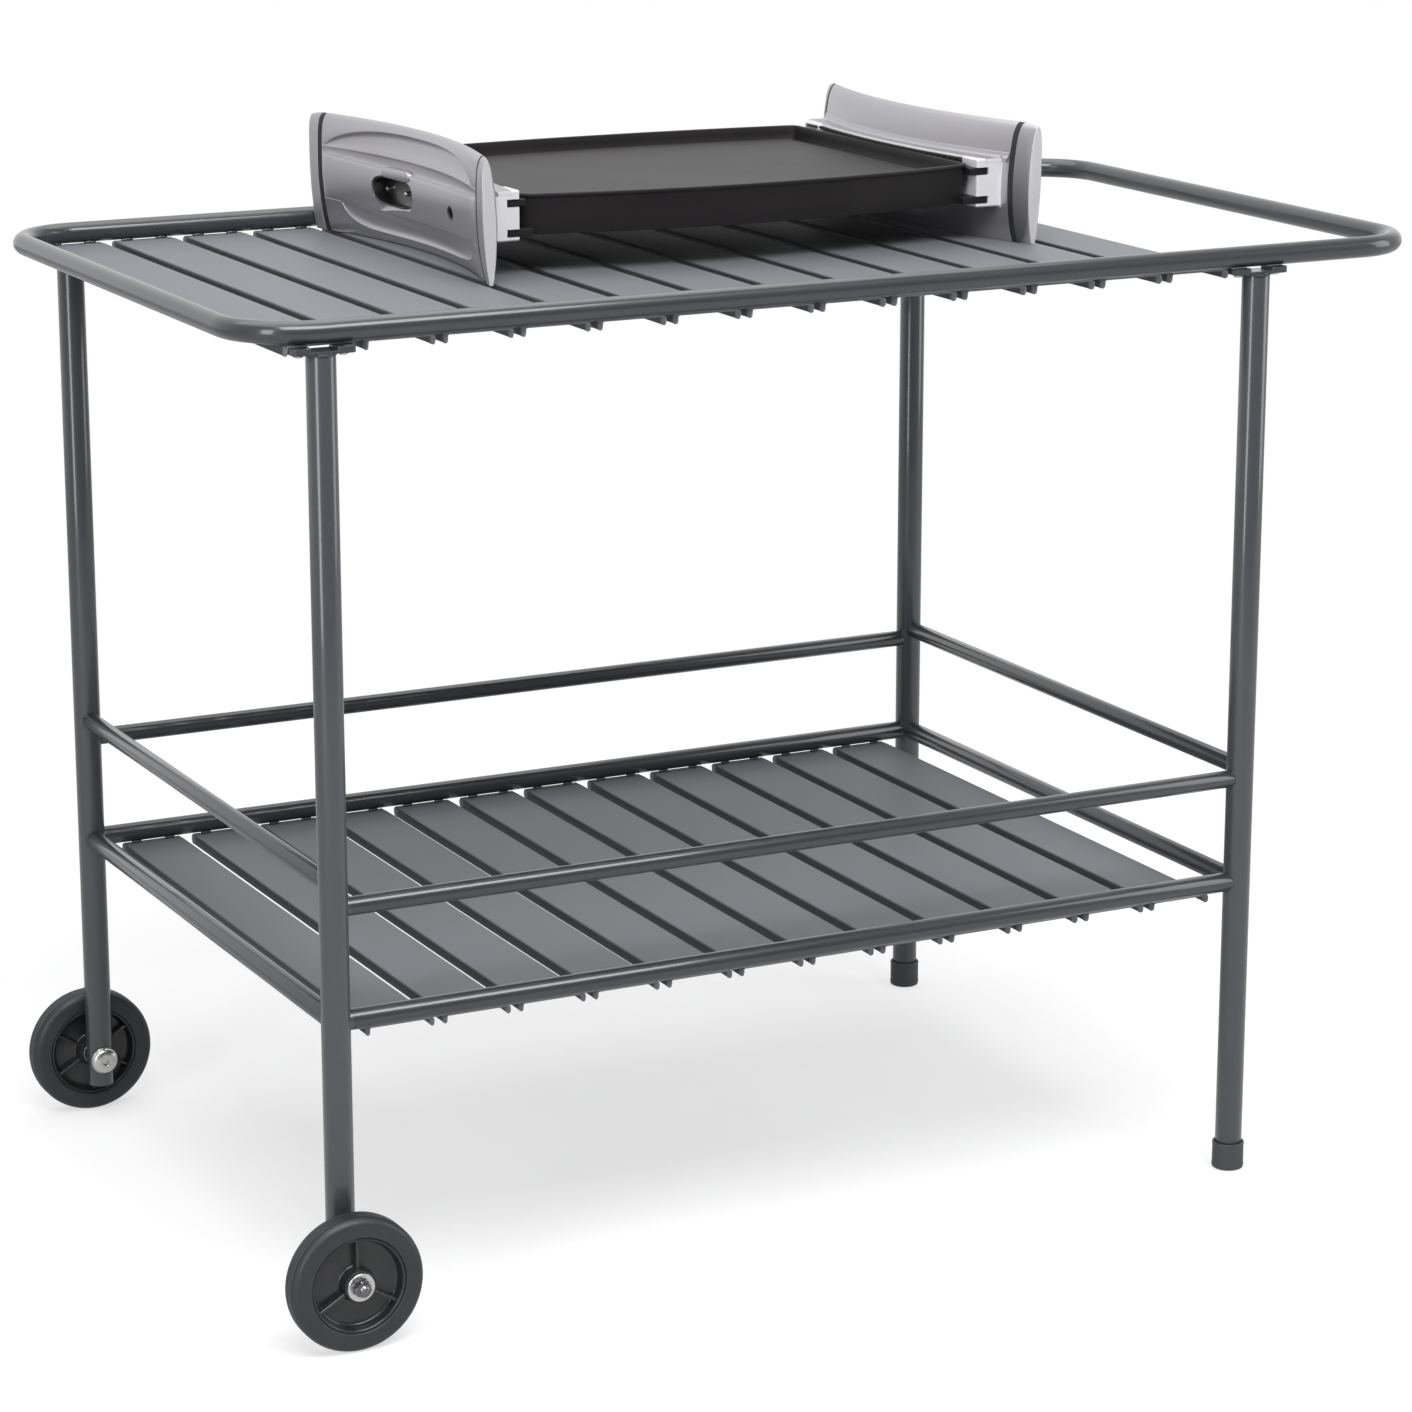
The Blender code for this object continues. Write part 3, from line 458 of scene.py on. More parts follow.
class Pattern:
    """A Geometry Nodes tree that repeats a mesh, each copy moved by one more step than the last."""

    def __init__(self):
        self.tree = bpy.data.node_groups.new("repeat", "GeometryNodeTree")
        face = self.tree.interface
        self.inputs = {}
        face.new_socket("Geometry", in_out="INPUT", socket_type="NodeSocketGeometry")
        kinds = {"Count": "Int", "Step": "Vector", "Middle": "Vector", "Material": "Material"}
        for name, kind in kinds.items():
            socket = face.new_socket(name, in_out="INPUT", socket_type="NodeSocket" + kind)
            self.inputs[name] = socket.identifier
        face.new_socket("Geometry", in_out="OUTPUT", socket_type="NodeSocketGeometry")
        start = self.tree.nodes.new("NodeGroupInput")
        end = self.tree.nodes.new("NodeGroupOutput")
        line = self.tree.nodes.new("GeometryNodeMeshLine")
        place = self.tree.nodes.new("GeometryNodeSetPosition")
        copy = self.tree.nodes.new("GeometryNodeInstanceOnPoints")
        real = self.tree.nodes.new("GeometryNodeRealizeInstances")
        coat = self.tree.nodes.new("GeometryNodeSetMaterial")
        link = self.tree.links.new
        link(start.outputs["Count"], line.inputs["Count"])
        link(start.outputs["Step"], line.inputs["Offset"])
        link(line.outputs["Mesh"], place.inputs["Geometry"])
        link(start.outputs["Middle"], place.inputs["Offset"])
        link(place.outputs["Geometry"], copy.inputs["Points"])
        link(start.outputs["Geometry"], copy.inputs["Instance"])
        link(copy.outputs["Instances"], real.inputs["Geometry"])
        link(real.outputs["Geometry"], coat.inputs["Geometry"])
        link(start.outputs["Material"], coat.inputs["Material"])
        link(coat.outputs["Geometry"], end.inputs["Geometry"])

    def apply(self, bm, seed_mesh, finish, count, step, middle):
        """Repeats the seed's mesh as the values say and adds the copies to bm."""
        seed = piece("seed", seed_mesh, finish, None)
        modifier = seed.modifiers.new("repeat", "NODES")
        modifier.node_group = self.tree
        values = {"Count": count, "Step": step, "Middle": middle, "Material": finish.material}
        for key, value in values.items():
            modifier[self.inputs[key]] = value
        seed.update_tag()
        made = seed.evaluated_get(bpy.context.evaluated_depsgraph_get())
        bm.from_mesh(bpy.data.meshes.new_from_object(made))
        bpy.data.objects.remove(seed, do_unlink=True)


pattern = Pattern()


def slat_section(y, nip):
    """The channel's section at y, its turned-down edges shortened by the nip."""
    half = SLAT_WIDTH / 2
    dip = SLAT_DIP * min(1.0, max(0.0, (abs(y) - DIP_START) / DIP_RUN))
    low = nip - SLAT_DEPTH
    inside = SLAT_ROUND - SLAT_SHEET
    points = []
    for radius, drop in ((SLAT_ROUND, 0.0), (inside, SLAT_SHEET)):
        side = []
        for k in range(6):
            a = pi / 2 * k / 5
            side.append((half - SLAT_ROUND + radius * sin(a), -SLAT_ROUND + radius * cos(a)))
        outer = half - drop
        edge = [(-px, pz) for px, pz in reversed(side)] + side
        points.append([(-outer, low)] + edge + [(outer, low)])
    section = points[0] + points[1][::-1]
    return [Vector((px, y, pz - dip)) for px, pz in section]


def slat():
    """One slat, lengthwise front to back, the lower corners of its ends rounded off."""
    stations = []
    for d in (0.0, 0.0004, 0.0012, 0.0024, 0.0036, LIP_ROUND):
        stations.append((d, LIP_ROUND - sqrt(LIP_ROUND ** 2 - (LIP_ROUND - d) ** 2)))
    stations.append((SLAT_HALF - DIP_START, 0.0))
    rows = [(d - SLAT_HALF, nip) for d, nip in stations]
    rows += [(SLAT_HALF - d, nip) for d, nip in reversed(stations)]
    return skinned([slat_section(y, nip) for y, nip in rows])


floors = (("deck", DECK_FIRST, DECK_PITCH, DECK_COUNT, DECK_TOP),
          ("shelf", SHELF_FIRST, SHELF_PITCH, SHELF_COUNT, SHELF_TOP))
for name, first, pitch, count, top in floors:
    bm = bmesh.new()
    pattern.apply(bm, slat(), slat_paint, count, (pitch, 0, 0), (first + SLAT_WIDTH / 2, 0, top))
    nodes = ["%s_slat_%02d" % (name, k + 1) for k in range(count)]
    piece(name + "_slats", bm, slat_paint, "cart", nodes)


# Welds: two short beads under each end of every slat join it to its tube, on the tube's inner side. They
# are ripples of weld metal, painted over with the tubes.
WELD_HALF = 0.006
WELD_ROUND = 0.0014
WELD_INSET = 0.0062
WELD_RISE = 0.0008
WELD_SHARES = (0.22, 0.78)


def bead():
    """One weld bead, thick in the middle and rippled."""
    loops = []
    for k in range(9):
        t = k / 4 - 1
        radius = WELD_ROUND * sqrt(max(0.0, 1 - t * t)) + 0.00012
        ripple = 1 + 0.12 * sin(k * 2.4)
        centre = Vector((WELD_HALF * t, 0, 0))
        loops.append(hoop(centre, Vector((0, 1, 0)), Vector((0, 0, 1)), radius * ripple, 10))
    return skinned(loops)


bm = bmesh.new()
for name, first, pitch, count, top in floors:
    for y in (WELD_INSET - LEG_ROW, LEG_ROW - WELD_INSET):
        for share in WELD_SHARES:
            middle = (first + SLAT_WIDTH * share, y, top + WELD_RISE)
            pattern.apply(bm, bead(), graphite, count, (pitch, 0, 0), middle)
piece("slat_welds", bm, graphite, "cart")

# Hardware: bright zinc-plated steel, darker at the nuts and the bolts' cut ends. Two domed screws come up
# through each leg's flange plate into the deck.
SCREW_SPREAD = 0.0195
SCREW_RADIUS = 0.0045
SCREW_HEIGHT = 0.0028
SCREW_SOCKET = 0.0019
NUT_OUT = 0.0449

zinc = Finish("zinc steel", (0.72, 0.72, 0.71), 1.0, 0.24)
spangle = zinc.noise(260.0, 3.0)
bright = zinc.mix(spangle, (0.62, 0.62, 0.61), (0.80, 0.80, 0.79))
x, y, z = zinc.axes()
outer = y.size().above(LEG_ROW + NUT_OUT - 0.0001, 0.0002)
zinc.set("Base Color", zinc.mix(outer, bright, (0.22, 0.22, 0.23)))
zinc.set("Roughness", 0.17 + spangle * 0.18)
zinc.bump(zinc.noise(900.0, 2.0), 0.12, 0.0002)


def turned(bm, profile, origin, axis, sides=28):
    """Turns a closed profile of (radius, distance along the axis) round it."""
    u = axis.orthogonal().normalized()
    v = axis.cross(u)
    loops = []
    for k in range(sides):
        a = 2 * pi * k / sides
        out = u * cos(a) + v * sin(a)
        loops.append([origin + out * r + axis * d for r, d in profile])
    skin(bm, loops, closed=True)


def hexagon(angle):
    """How far a hexagon reaches at the angle, as a multiple of half its width over the flats."""
    return 1 / cos((angle % (pi / 3)) - pi / 6)


def dome(bm, origin, axis, radius, height, socket):
    """A domed head with a hexagon socket."""
    u = axis.orthogonal().normalized()
    v = axis.cross(u)
    rise = [(radius, 0.0)]
    for k in range(1, 7):
        a = pi / 2 * k / 6
        rise.append((socket + (radius - socket) * cos(a), height * (0.25 + 0.75 * sin(a))))
    loops = [hoop(origin + axis * d, u, v, r, 24) for r, d in rise]
    for r, d in ((socket, height * 0.96), (socket * 0.96, height * 0.35)):
        loop = []
        for k in range(24):
            a = 2 * pi * k / 24
            loop.append(origin + axis * d + (u * cos(a) + v * sin(a)) * r * cos(pi / 6) * hexagon(a))
        loops.append(loop)
    skin(bm, loops)


bm = bmesh.new()
for name, x, y, bottom, top in leg_places:
    for side in (-1, 1):
        below = Vector((x + side * SCREW_SPREAD, y, top - PAD_HEIGHT - FLANGE_THICK))
        dome(bm, below, Vector((0, 0, -1)), SCREW_RADIUS, SCREW_HEIGHT, SCREW_SOCKET)
piece("flange_screws", bm, zinc, "cart")

# Foot caps: injection-moulded plastic cups with a thick floor and a rolled lip, pushed over the right legs'
# ends. The profile runs from the middle of the sole up the outside and down the bore.
foot_profile = ((0.0, 0.0), (0.0128, 0.0), (0.0143, 0.0008), (0.0149, 0.0022), (0.0150, 0.0045),
                (0.0147, 0.0060), (0.0147, 0.0232), (0.0150, 0.0240), (0.0150, 0.0252), (0.0145, 0.0260),
                (0.0132, 0.0260), (0.0127, 0.0254), (0.0127, 0.0031), (0.0, 0.0031))
foot_plastic = Finish("foot plastic", (0.048, 0.051, 0.056), 0.0, 0.46)
grain = foot_plastic.noise(700.0, 3.0)
flow = foot_plastic.noise(60.0)
foot_plastic.set("Base Color", foot_plastic.mix(flow, (0.042, 0.045, 0.050), (0.062, 0.065, 0.070)))
foot_plastic.set("Roughness", 0.42 + grain * 0.16)
foot_plastic.bump(grain, 0.18, 0.0003)
for side, y in (("front", -LEG_ROW), ("back", LEG_ROW)):
    bm = bmesh.new()
    turned(bm, foot_profile, Vector((RIGHT_LEG, y, 0)), Vector((0, 0, 1)), 48)
    piece("%s_foot_cup" % side, bm, foot_plastic, "cart", ["%s_foot_cap" % side])

# Wheels: a solid rubber tyre with four fine tread grooves, pressed over a moulded plastic centre that has a
# flat web, three ribs outside, six inside and a long boss. Both turn on a bolt through the leg.
tyre_rubber = Finish("tyre rubber", (0.022, 0.024, 0.027), 0.0, 0.40, Coat_Weight=0.12, Coat_Roughness=0.26)
dust = tyre_rubber.noise(38.0, 4.0, 0.6)
grain = tyre_rubber.noise(1300.0, 2.0)
dusty = dust.above(0.52, 0.5)
tyre_rubber.set("Base Color", tyre_rubber.mix(dusty, (0.019, 0.021, 0.024), (0.027, 0.030, 0.034)))
tyre_rubber.set("Roughness", 0.40 + dust * 0.16)
tyre_rubber.bump(grain * 0.6 + dust * 0.4, 0.15, 0.0004)
wheel_plastic = Finish("wheel plastic", (0.016, 0.017, 0.018), 0.0, 0.30,
                       Coat_Weight=0.4, Coat_Roughness=0.10)
flow = wheel_plastic.noise(55.0, 3.0)
spark = wheel_plastic.noise(1500.0, 2.0)
wheel_plastic.set("Base Color", wheel_plastic.mix(flow, (0.013, 0.014, 0.015), (0.019, 0.020, 0.022)))
wheel_plastic.set("Roughness", 0.28 + flow * 0.12)
wheel_plastic.bump(spark, 0.12, 0.0003)

WHEEL_RADIUS = 0.060
WHEEL_AXIS = LEG_ROW + 0.0287
TYRE_HALF = 0.013
TYRE_BEND = 0.008
GROOVE_PLACES = (0.0066, 0.0022)
GROOVE_DEPTH = 0.0009
RIB_NEAR = 0.0118
RIB_FAR = 0.0398
RIB_LOW = 0.0015
RIB_HIGH = 0.0090
OUTER_RIB = 0.0030
INNER_RIB = 0.0022
rim_profile = [(0.0424, 0.0108), (0.0422, 0.0114), (0.0418, 0.0118), (0.0412, 0.0119), (0.0406, 0.0117),
               (0.0400, 0.0112), (0.0395, 0.0103), (0.0392, 0.0090), (0.0388, 0.0052), (0.0381, 0.0036),
               (0.0370, 0.0025), (0.0352, 0.0020)]
boss_profile = [(0.0170, 0.0020), (0.0157, 0.0026), (0.0148, 0.0042), (0.0144, 0.0130), (0.0137, 0.0139),
                (0.0046, 0.0140)]


def tyre_profile():
    """The tyre's section: a flat side wall, a round shoulder and grooves, then the same mirrored."""
    half = TYRE_HALF
    bend = TYRE_BEND
    side = [(0.0425, half - 0.0012), (0.0431, half - 0.0004), (0.0440, half), (0.0470, half)]
    for k in range(9):
        a = pi / 2 * k / 9
        side.append((WHEEL_RADIUS - bend + bend * sin(a), half - bend + bend * cos(a)))
    grooves = []
    for place in GROOVE_PLACES:
        for offset, sunk in ((0.0006, 0), (0.00035, 1), (-0.00035, 1), (-0.0006, 0)):
            tread = WHEEL_RADIUS - 0.0004 * (place / half) ** 2
            if place > half - bend:
                tread = WHEEL_RADIUS - bend + sqrt(bend ** 2 - (place + offset - half + bend) ** 2)
            grooves.append((tread - GROOVE_DEPTH * sunk, place + offset))
    side = [(r, d) for r, d in side if d > 0.0072 or r < 0.05] + grooves
    return side + [(r, -d) for r, d in reversed(side)]


def rib(bm, origin, out, angle, thick):
    """A radial rib with a little draft and broken edges."""
    ray = Vector((cos(angle), 0, sin(angle)))
    across = out.cross(ray)
    loops = []
    for d, wider in ((RIB_LOW, 0.0003), (RIB_HIGH - 0.0004, 0.0), (RIB_HIGH, -0.0004)):
        half = thick / 2 + wider
        loop = []
        for r, side in ((RIB_NEAR, -1), (RIB_FAR, -1), (RIB_FAR, 1), (RIB_NEAR, 1)):
            loop.append(origin + ray * r + across * side * half + out * d)
        loops.append(loop)
    skin(bm, loops)


for side, sign in (("front", -1), ("back", 1)):
    out = Vector((0, sign, 0))
    middle = Vector((LEFT_LEG, sign * WHEEL_AXIS, WHEEL_RADIUS))
    bm = bmesh.new()
    turned(bm, tyre_profile(), middle, out, 120)
    piece("%s_tyre_ring" % side, bm, tyre_rubber, "%s_wheel" % side, ["%s_tyre" % side], 50)
    bm = bmesh.new()
    half = rim_profile + boss_profile
    turned(bm, half + [(r, -d) for r, d in reversed(half)], middle, out, 96)
    for k in range(3):
        rib(bm, middle, out, pi / 2 + 2 * pi * k / 3, OUTER_RIB)
    for k in range(6):
        rib(bm, middle, -out, pi / 2 + pi * k / 3, INNER_RIB)
    piece("%s_wheel_web" % side, bm, wheel_plastic, "%s_wheel" % side,
          ["%s_wheel_centre" % side])

# Axle hardware: a button-head bolt with a socket, its washer against the leg, a spacer washer, an end
# washer and a lock nut with its collar, past which the thread shows. Distances run outwards from the middle
# of the leg.
LEG_FACE = 0.0128
WASHER_THICK = 0.0016
WASHER_HOLE = 0.0043
SPACER_RADIUS = 0.0115
END_WASHER_OUT = 0.0430
END_WASHER_RADIUS = 0.0123
NUT_ACROSS = 0.0135
NUT_THICK = 0.0065
NUT_HOLE = 0.0042
HEAD_OUT = 0.0143
HEAD_RADIUS = 0.0124
HEAD_HEIGHT = 0.0053
HEAD_SOCKET = 0.0040
HEAD_WASHER_RADIUS = 0.0130
HEAD_WASHER_HOLE = 0.0038
BOLT_RADIUS = 0.0040
BOLT_END = 0.0544
THREAD_ROOT = 0.0036
THREAD_PITCH = 0.0008
THREAD_START = 0.0448


def washer(bm, origin, axis, radius, hole, thick):
    """A flat washer with its edges broken."""
    edge = 0.0002
    section = [(hole, 0.0001), (hole + edge, 0.0), (radius - edge, 0.0), (radius, edge),
               (radius, thick - edge), (radius - edge, thick), (hole + edge, thick), (hole, thick - 0.0001)]
    turned(bm, section, origin, axis, 40)


def hex_nut(bm, origin, axis, across, thick, hole):
    """A hexagon with its corners turned off at both faces and a round collar on the outer one."""
    u = axis.orthogonal().normalized()
    v = axis.cross(u)
    loops = []
    for d, reach in ((0.0, 0.5), (0.0006, 0.56), (thick - 0.0016, 0.56), (thick - 0.0010, 0.5)):
        loop = []
        for k in range(36):
            a = 2 * pi * k / 36
            flat = across / 2 * hexagon(a)
            loop.append(origin + axis * d + (u * cos(a) + v * sin(a)) * min(flat, across * reach * 1.02))
        loops.append(loop)
    for d, r in ((thick - 0.0008, across * 0.44), (thick - 0.0002, across * 0.42), (thick, across * 0.38),
                 (thick, hole), (0.0, hole)):
        loops.append(hoop(origin + axis * d, u, v, r, 36))
    skin(bm, loops, closed=True)


for side, sign in (("front", -1), ("back", 1)):
    out = Vector((0, sign, 0))
    leg = Vector((LEFT_LEG, sign * LEG_ROW, WHEEL_RADIUS))
    bm = bmesh.new()
    washer(bm, leg + out * LEG_FACE, out, SPACER_RADIUS, WASHER_HOLE, WASHER_THICK)
    piece("%s_spacer" % side, bm, zinc, "cart", ["%s_spacer_washer" % side])
    bm = bmesh.new()
    washer(bm, leg + out * END_WASHER_OUT, out, END_WASHER_RADIUS, WASHER_HOLE, WASHER_THICK)
    piece("%s_wheel_washer" % side, bm, zinc, "cart", ["%s_end_washer" % side])
    bm = bmesh.new()
    hex_nut(bm, leg + out * NUT_OUT, out, NUT_ACROSS, NUT_THICK, NUT_HOLE)
    piece("%s_lock_nut" % side, bm, zinc, "cart", ["%s_axle_nut" % side])
    bm = bmesh.new()
    thread = [(0.0, -0.0126), (BOLT_RADIUS, -0.0126), (BOLT_RADIUS, THREAD_START - 0.0002)]
    for k in range(12):
        turn = THREAD_START + THREAD_PITCH * k
        thread += [(BOLT_RADIUS, turn - 0.0001), (THREAD_ROOT, turn + 0.0003)]
    thread += [(0.0034, BOLT_END - 0.0004), (0.0030, BOLT_END), (0.0, BOLT_END)]
    turned(bm, thread, leg, out, 32)
    washer(bm, leg - out * LEG_FACE, -out, HEAD_WASHER_RADIUS, HEAD_WASHER_HOLE, WASHER_THICK)
    dome(bm, leg - out * HEAD_OUT, -out, HEAD_RADIUS, HEAD_HEIGHT, HEAD_SOCKET)
    piece("%s_axle_screw" % side, bm, zinc, "cart", ["%s_axle_bolt" % side])

# Griddle stands: two die-cast blades with a satin silver coat, bowed inwards. Outside, a finger cove runs
# under a bulging panel, and an arched grip is dished in above a thin ridge. Inside are a ledge and two
# notched brackets.
GRIDDLE = Vector((0.0096, 0.097, 0.8555))
STAND_OUT = 0.2744
STAND_BOW = 0.031
STAND_HEIGHT = 0.111
STAND_HALF = 0.200
STAND_LEAN = 0.004
BLADE_HALF = 0.0095
SEAM_START = 0.1772
SEAM_END = 0.1836
LENS = ((0, 0.26), (0.06, 0.45), (0.16, 0.69), (0.30, 0.89), (0.45, 1.0), (0.60, 0.98), (0.71, 0.91),
        (0.77, 0.86), (0.83, 0.79), (0.89, 0.69), (0.94, 0.53), (0.985, 0.26), (1.0, 0.0))
LEDGE_TOP = 0.0775
LEDGE_THICK = 0.0034
LEDGE_REACH = 0.2410
LEDGE_BOW = 0.0150
LEDGE_HALF = 0.174
COVE_TOP = 0.0273
COVE_RISE = 0.0086
COVE_DEPTH = 0.0030
COVE_HALF = 0.150
PANEL_TOP = 0.0686
PANEL_SWEEP = 0.004
RELIEF_END = 0.1755
RIDGE = 0.0810
GRIP_MIDDLE = 0.010
GRIP_HALF = 0.162
GRIP_RISE = 0.0218
GRIP_DEPTH = 0.0092
BRACKET_ROOT = 0.2320
BRACKET_SPAN = (0.1395, 0.1680)
BRACKET_HEIGHTS = (0.0325, 0.0772)
NOTCH_LEVELS = (0.0360, 0.0625)
NOTCH_REACH = (0.2260, 0.2443)
NOTCH_SPAN = (0.12, 0.18)
LEDGE_CUT = ((0.2200, 0.2570), (-0.1684, -0.1850), (0.0710, 0.0832))
INLET_V = 0.0535
INLET_W = 0.0500
INLET_HALF_V = 0.0395
INLET_HALF_W = 0.0139
INLET_LIP = (0.0215, 0.0845)
KEY_V = -0.084
KEY_W = 0.0480

# The ledge's front and the brackets carry a painted highlight, a lighter and less metallic coat, and the
# ledge's top a painted shade, a darker coat.
stand_shell = Finish("stand shell", (0.47, 0.46, 0.49), 0.80, 0.36, Coat_Weight=0.15, Coat_Roughness=0.2)
flake = stand_shell.noise(1900.0, 2.0)
cloud = stand_shell.noise(9.0, 3.0)
coat = stand_shell.mix(cloud.above(0.5, 0.7), (0.455, 0.445, 0.475), (0.50, 0.49, 0.52))
x, y, z = stand_shell.axes()
along = ((y - GRIDDLE.y) / LEDGE_HALF).size()
out = (x - GRIDDLE.x).size()
height = z - GRIDDLE.z
tip = LEDGE_REACH + 0.0020 - (1.0 - along * along) * LEDGE_BOW
# Painted highlight along the ledge's front edge.
edge = (tip - out).above(0.0, 0.0004) * height.above(0.0744, 0.0002) * height.below(0.0771, 0.0004)
bracket_highlight = out.below(0.2595, 0.0006) * (along - 0.884).within(0.090, 0.004)
bracket_highlight = bracket_highlight * (height - 0.0545).within(0.0228, 0.0004)
# Painted shade on the ledge's top.
shelf = out.below(0.2520, 0.0050) * height.above(0.0773, 0.0002) * height.below(0.0778, 0.0002)
light = edge.most(bracket_highlight)
coat = stand_shell.mix(shelf, coat, (0.34, 0.335, 0.355))
stand_shell.set("Base Color", stand_shell.mix(light, coat, (0.78, 0.77, 0.80)))
stand_shell.set("Metallic", 0.80 - light * 0.65)
stand_shell.set("Roughness", 0.30 + flake * 0.10 + cloud * 0.04)
stand_shell.bump(flake * 0.6 + stand_shell.noise(240.0, 3.0) * 0.4, 0.08, 0.0003)

# The caps' moulding is pitted. The flat end face carries painted light, a lighter and less metallic coat,
# and the plate's side a painted shade that darkens toward the foot.
end_cap = Finish("stand end cap", (0.40, 0.395, 0.42), 0.55, 0.36, Coat_Weight=0.2, Coat_Roughness=0.3)
pit = end_cap.node("ShaderNodeTexVoronoi", {"feature": "F1"}, "Distance", Vector=end_cap.place, Scale=70.0)
cloud = end_cap.noise(14.0, 3.0)
x, y, z = end_cap.axes()
# Painted light on the flat end face.
end_face_light = (y - GRIDDLE.y).size().above(STAND_HALF - 0.0006, 0.0003)
coat = end_cap.mix(cloud.above(0.5, 0.7), (0.38, 0.375, 0.40), (0.43, 0.425, 0.45))
# Painted shade on the plate's side, darker toward the foot.
inner = (x - GRIDDLE.x).size().below(0.2695, 0.003)
shade = inner * (1.0 - ((z - GRIDDLE.z) / STAND_HEIGHT).most(0.0)).least(1.0) * 0.85
coat = end_cap.mix(shade, coat, (0.060, 0.060, 0.066))
end_cap.set("Base Color", end_cap.mix(end_face_light, coat, (0.52, 0.515, 0.54)))
end_cap.set("Metallic", 0.55 - end_face_light * 0.45)
end_cap.set("Roughness", 0.33 + cloud * 0.08)
end_cap.bump(pit.above(0.06, 0.05) + end_cap.noise(900.0, 2.0) * 0.05, 0.25, 0.0004)
seam_rubber = Finish("seam rubber", (0.018, 0.018, 0.020), 0.0, 0.55)
seam_rubber.set("Roughness", 0.48 + seam_rubber.noise(500.0, 2.0) * 0.15)
seam_rubber.bump(seam_rubber.noise(800.0, 2.0), 0.1, 0.0002)


def curve(table, x):
    """Reads a table of places and values as one smooth line through its points."""
    i = 0
    while i < len(table) - 2 and x > table[i + 1][0]:
        i += 1
    (x0, y0), (x1, y1) = table[i], table[i + 1]
    before = table[max(i - 1, 0)]
    after = table[min(i + 2, len(table) - 1)]
    run = x1 - x0
    m0 = (y1 - before[1]) / (x1 - before[0]) * run
    m1 = (after[1] - y0) / (after[0] - x0) * run
    t = (x - x0) / run
    return ((2 * t ** 3 - 3 * t * t + 1) * y0 + (t ** 3 - 2 * t * t + t) * m0 + (3 * t * t - 2 * t ** 3) * y1
            + (t ** 3 - t * t) * m1)


def griddle_at(sign, u, v, w):
    """A point u out to one side, v to the back and w up, from the middle of the griddle's foot."""
    return GRIDDLE + Vector((sign * u, v, w))


def blade_middle(v):
    """How far out the bowed blade's middle lies at v."""
    return STAND_OUT - STAND_BOW * (1 - (v / STAND_HALF) ** 2)


def blade_face(v, w, side):
    """How far out the blade's face lies at v and w: side 1 is its outer face and -1 its inner one."""
    h = w / STAND_HEIGHT
    return blade_middle(v) + STAND_LEAN * h * h + side * BLADE_HALF * curve(LENS, h)


def ledge_tip(v):
    """How far out the ledge's front edge lies at v."""
    return LEDGE_REACH - LEDGE_BOW * (1 - (v / LEDGE_HALF) ** 2)


def relief(v):
    """Heights up the outer face at v, each with how far it stands out from the plain lens."""
    fade = min(1.0, max(0.0, (RELIEF_END - abs(v)) / 0.0028))
    fade = fade * fade * (3 - 2 * fade)
    sweep = PANEL_SWEEP * (v / COVE_HALF) ** 2
    low = COVE_TOP + sweep
    high = PANEL_TOP + sweep
    span = high - low
    opened = max(0.03, sqrt(max(0.0, 1 - abs(v / COVE_HALF) ** 6)))
    cove = (low - COVE_RISE) * opened
    foot = low - cove
    reach = min(1.0, abs((v - GRIP_MIDDLE) / GRIP_HALF))
    grip = max(0.03, (1 - reach ** 3) ** 0.65)
    arch = GRIP_RISE * grip
    top = RIDGE + 0.0005 + arch
    points = [(0.0, -0.0010), (0.0006, -0.0003), (0.0014, 0.0), (foot * 0.5, 0.0), (foot - 0.0012, 0.0002),
              (foot - 0.0004, 0.0004), (foot, 0.0002)]
    for a, d in ((0.04, 0.18), (0.12, 0.50), (0.25, 0.82), (0.42, 1.0), (0.60, 0.96), (0.76, 0.74),
                 (0.88, 0.42), (0.96, 0.12)):
        points.append((foot + cove * a, -COVE_DEPTH * opened * d))
    for a, d in ((0.0, 0.0003), (0.0003, 0.0009), (0.0008, 0.0013), (0.0016, 0.0015), (0.0035, 0.0018)):
        points.append((low + a, d * fade))
    for a, d in ((0.2, 0.0024), (0.35, 0.0029), (0.5, 0.0031), (0.65, 0.0032), (0.8, 0.0030)):
        points.append((low + span * a, d * fade))
    for a, d in ((-0.0030, 0.0026), (-0.0014, 0.0024), (-0.0006, 0.0018), (-0.0001, 0.0008),
                 (0.0002, -0.0004), (0.0010, -0.0009), (0.0030, -0.0010)):
        points.append((high + a, d * fade))
    for a, d in ((-0.0026, -0.0010), (-0.0012, -0.0006), (-0.0005, 0.0), (0.0, 0.0003), (0.0004, -0.0002)):
        points.append((RIDGE + a, d * fade))
    for a, d in ((0.04, 0.16), (0.12, 0.34), (0.24, 0.55), (0.40, 0.78), (0.56, 0.94), (0.70, 1.0),
                 (0.80, 0.95), (0.88, 0.80), (0.94, 0.54), (0.985, 0.14)):
        points.append((RIDGE + 0.0005 + arch * a, -GRIP_DEPTH * grip * d))
    points += [(top + 0.0004, 0.0), (top + 0.0012, 0.0001)]
    points += [(top + (STAND_HEIGHT - top) * a, 0.0) for a in (0.35, 0.6, 0.78, 0.9, 0.965)]
    return points


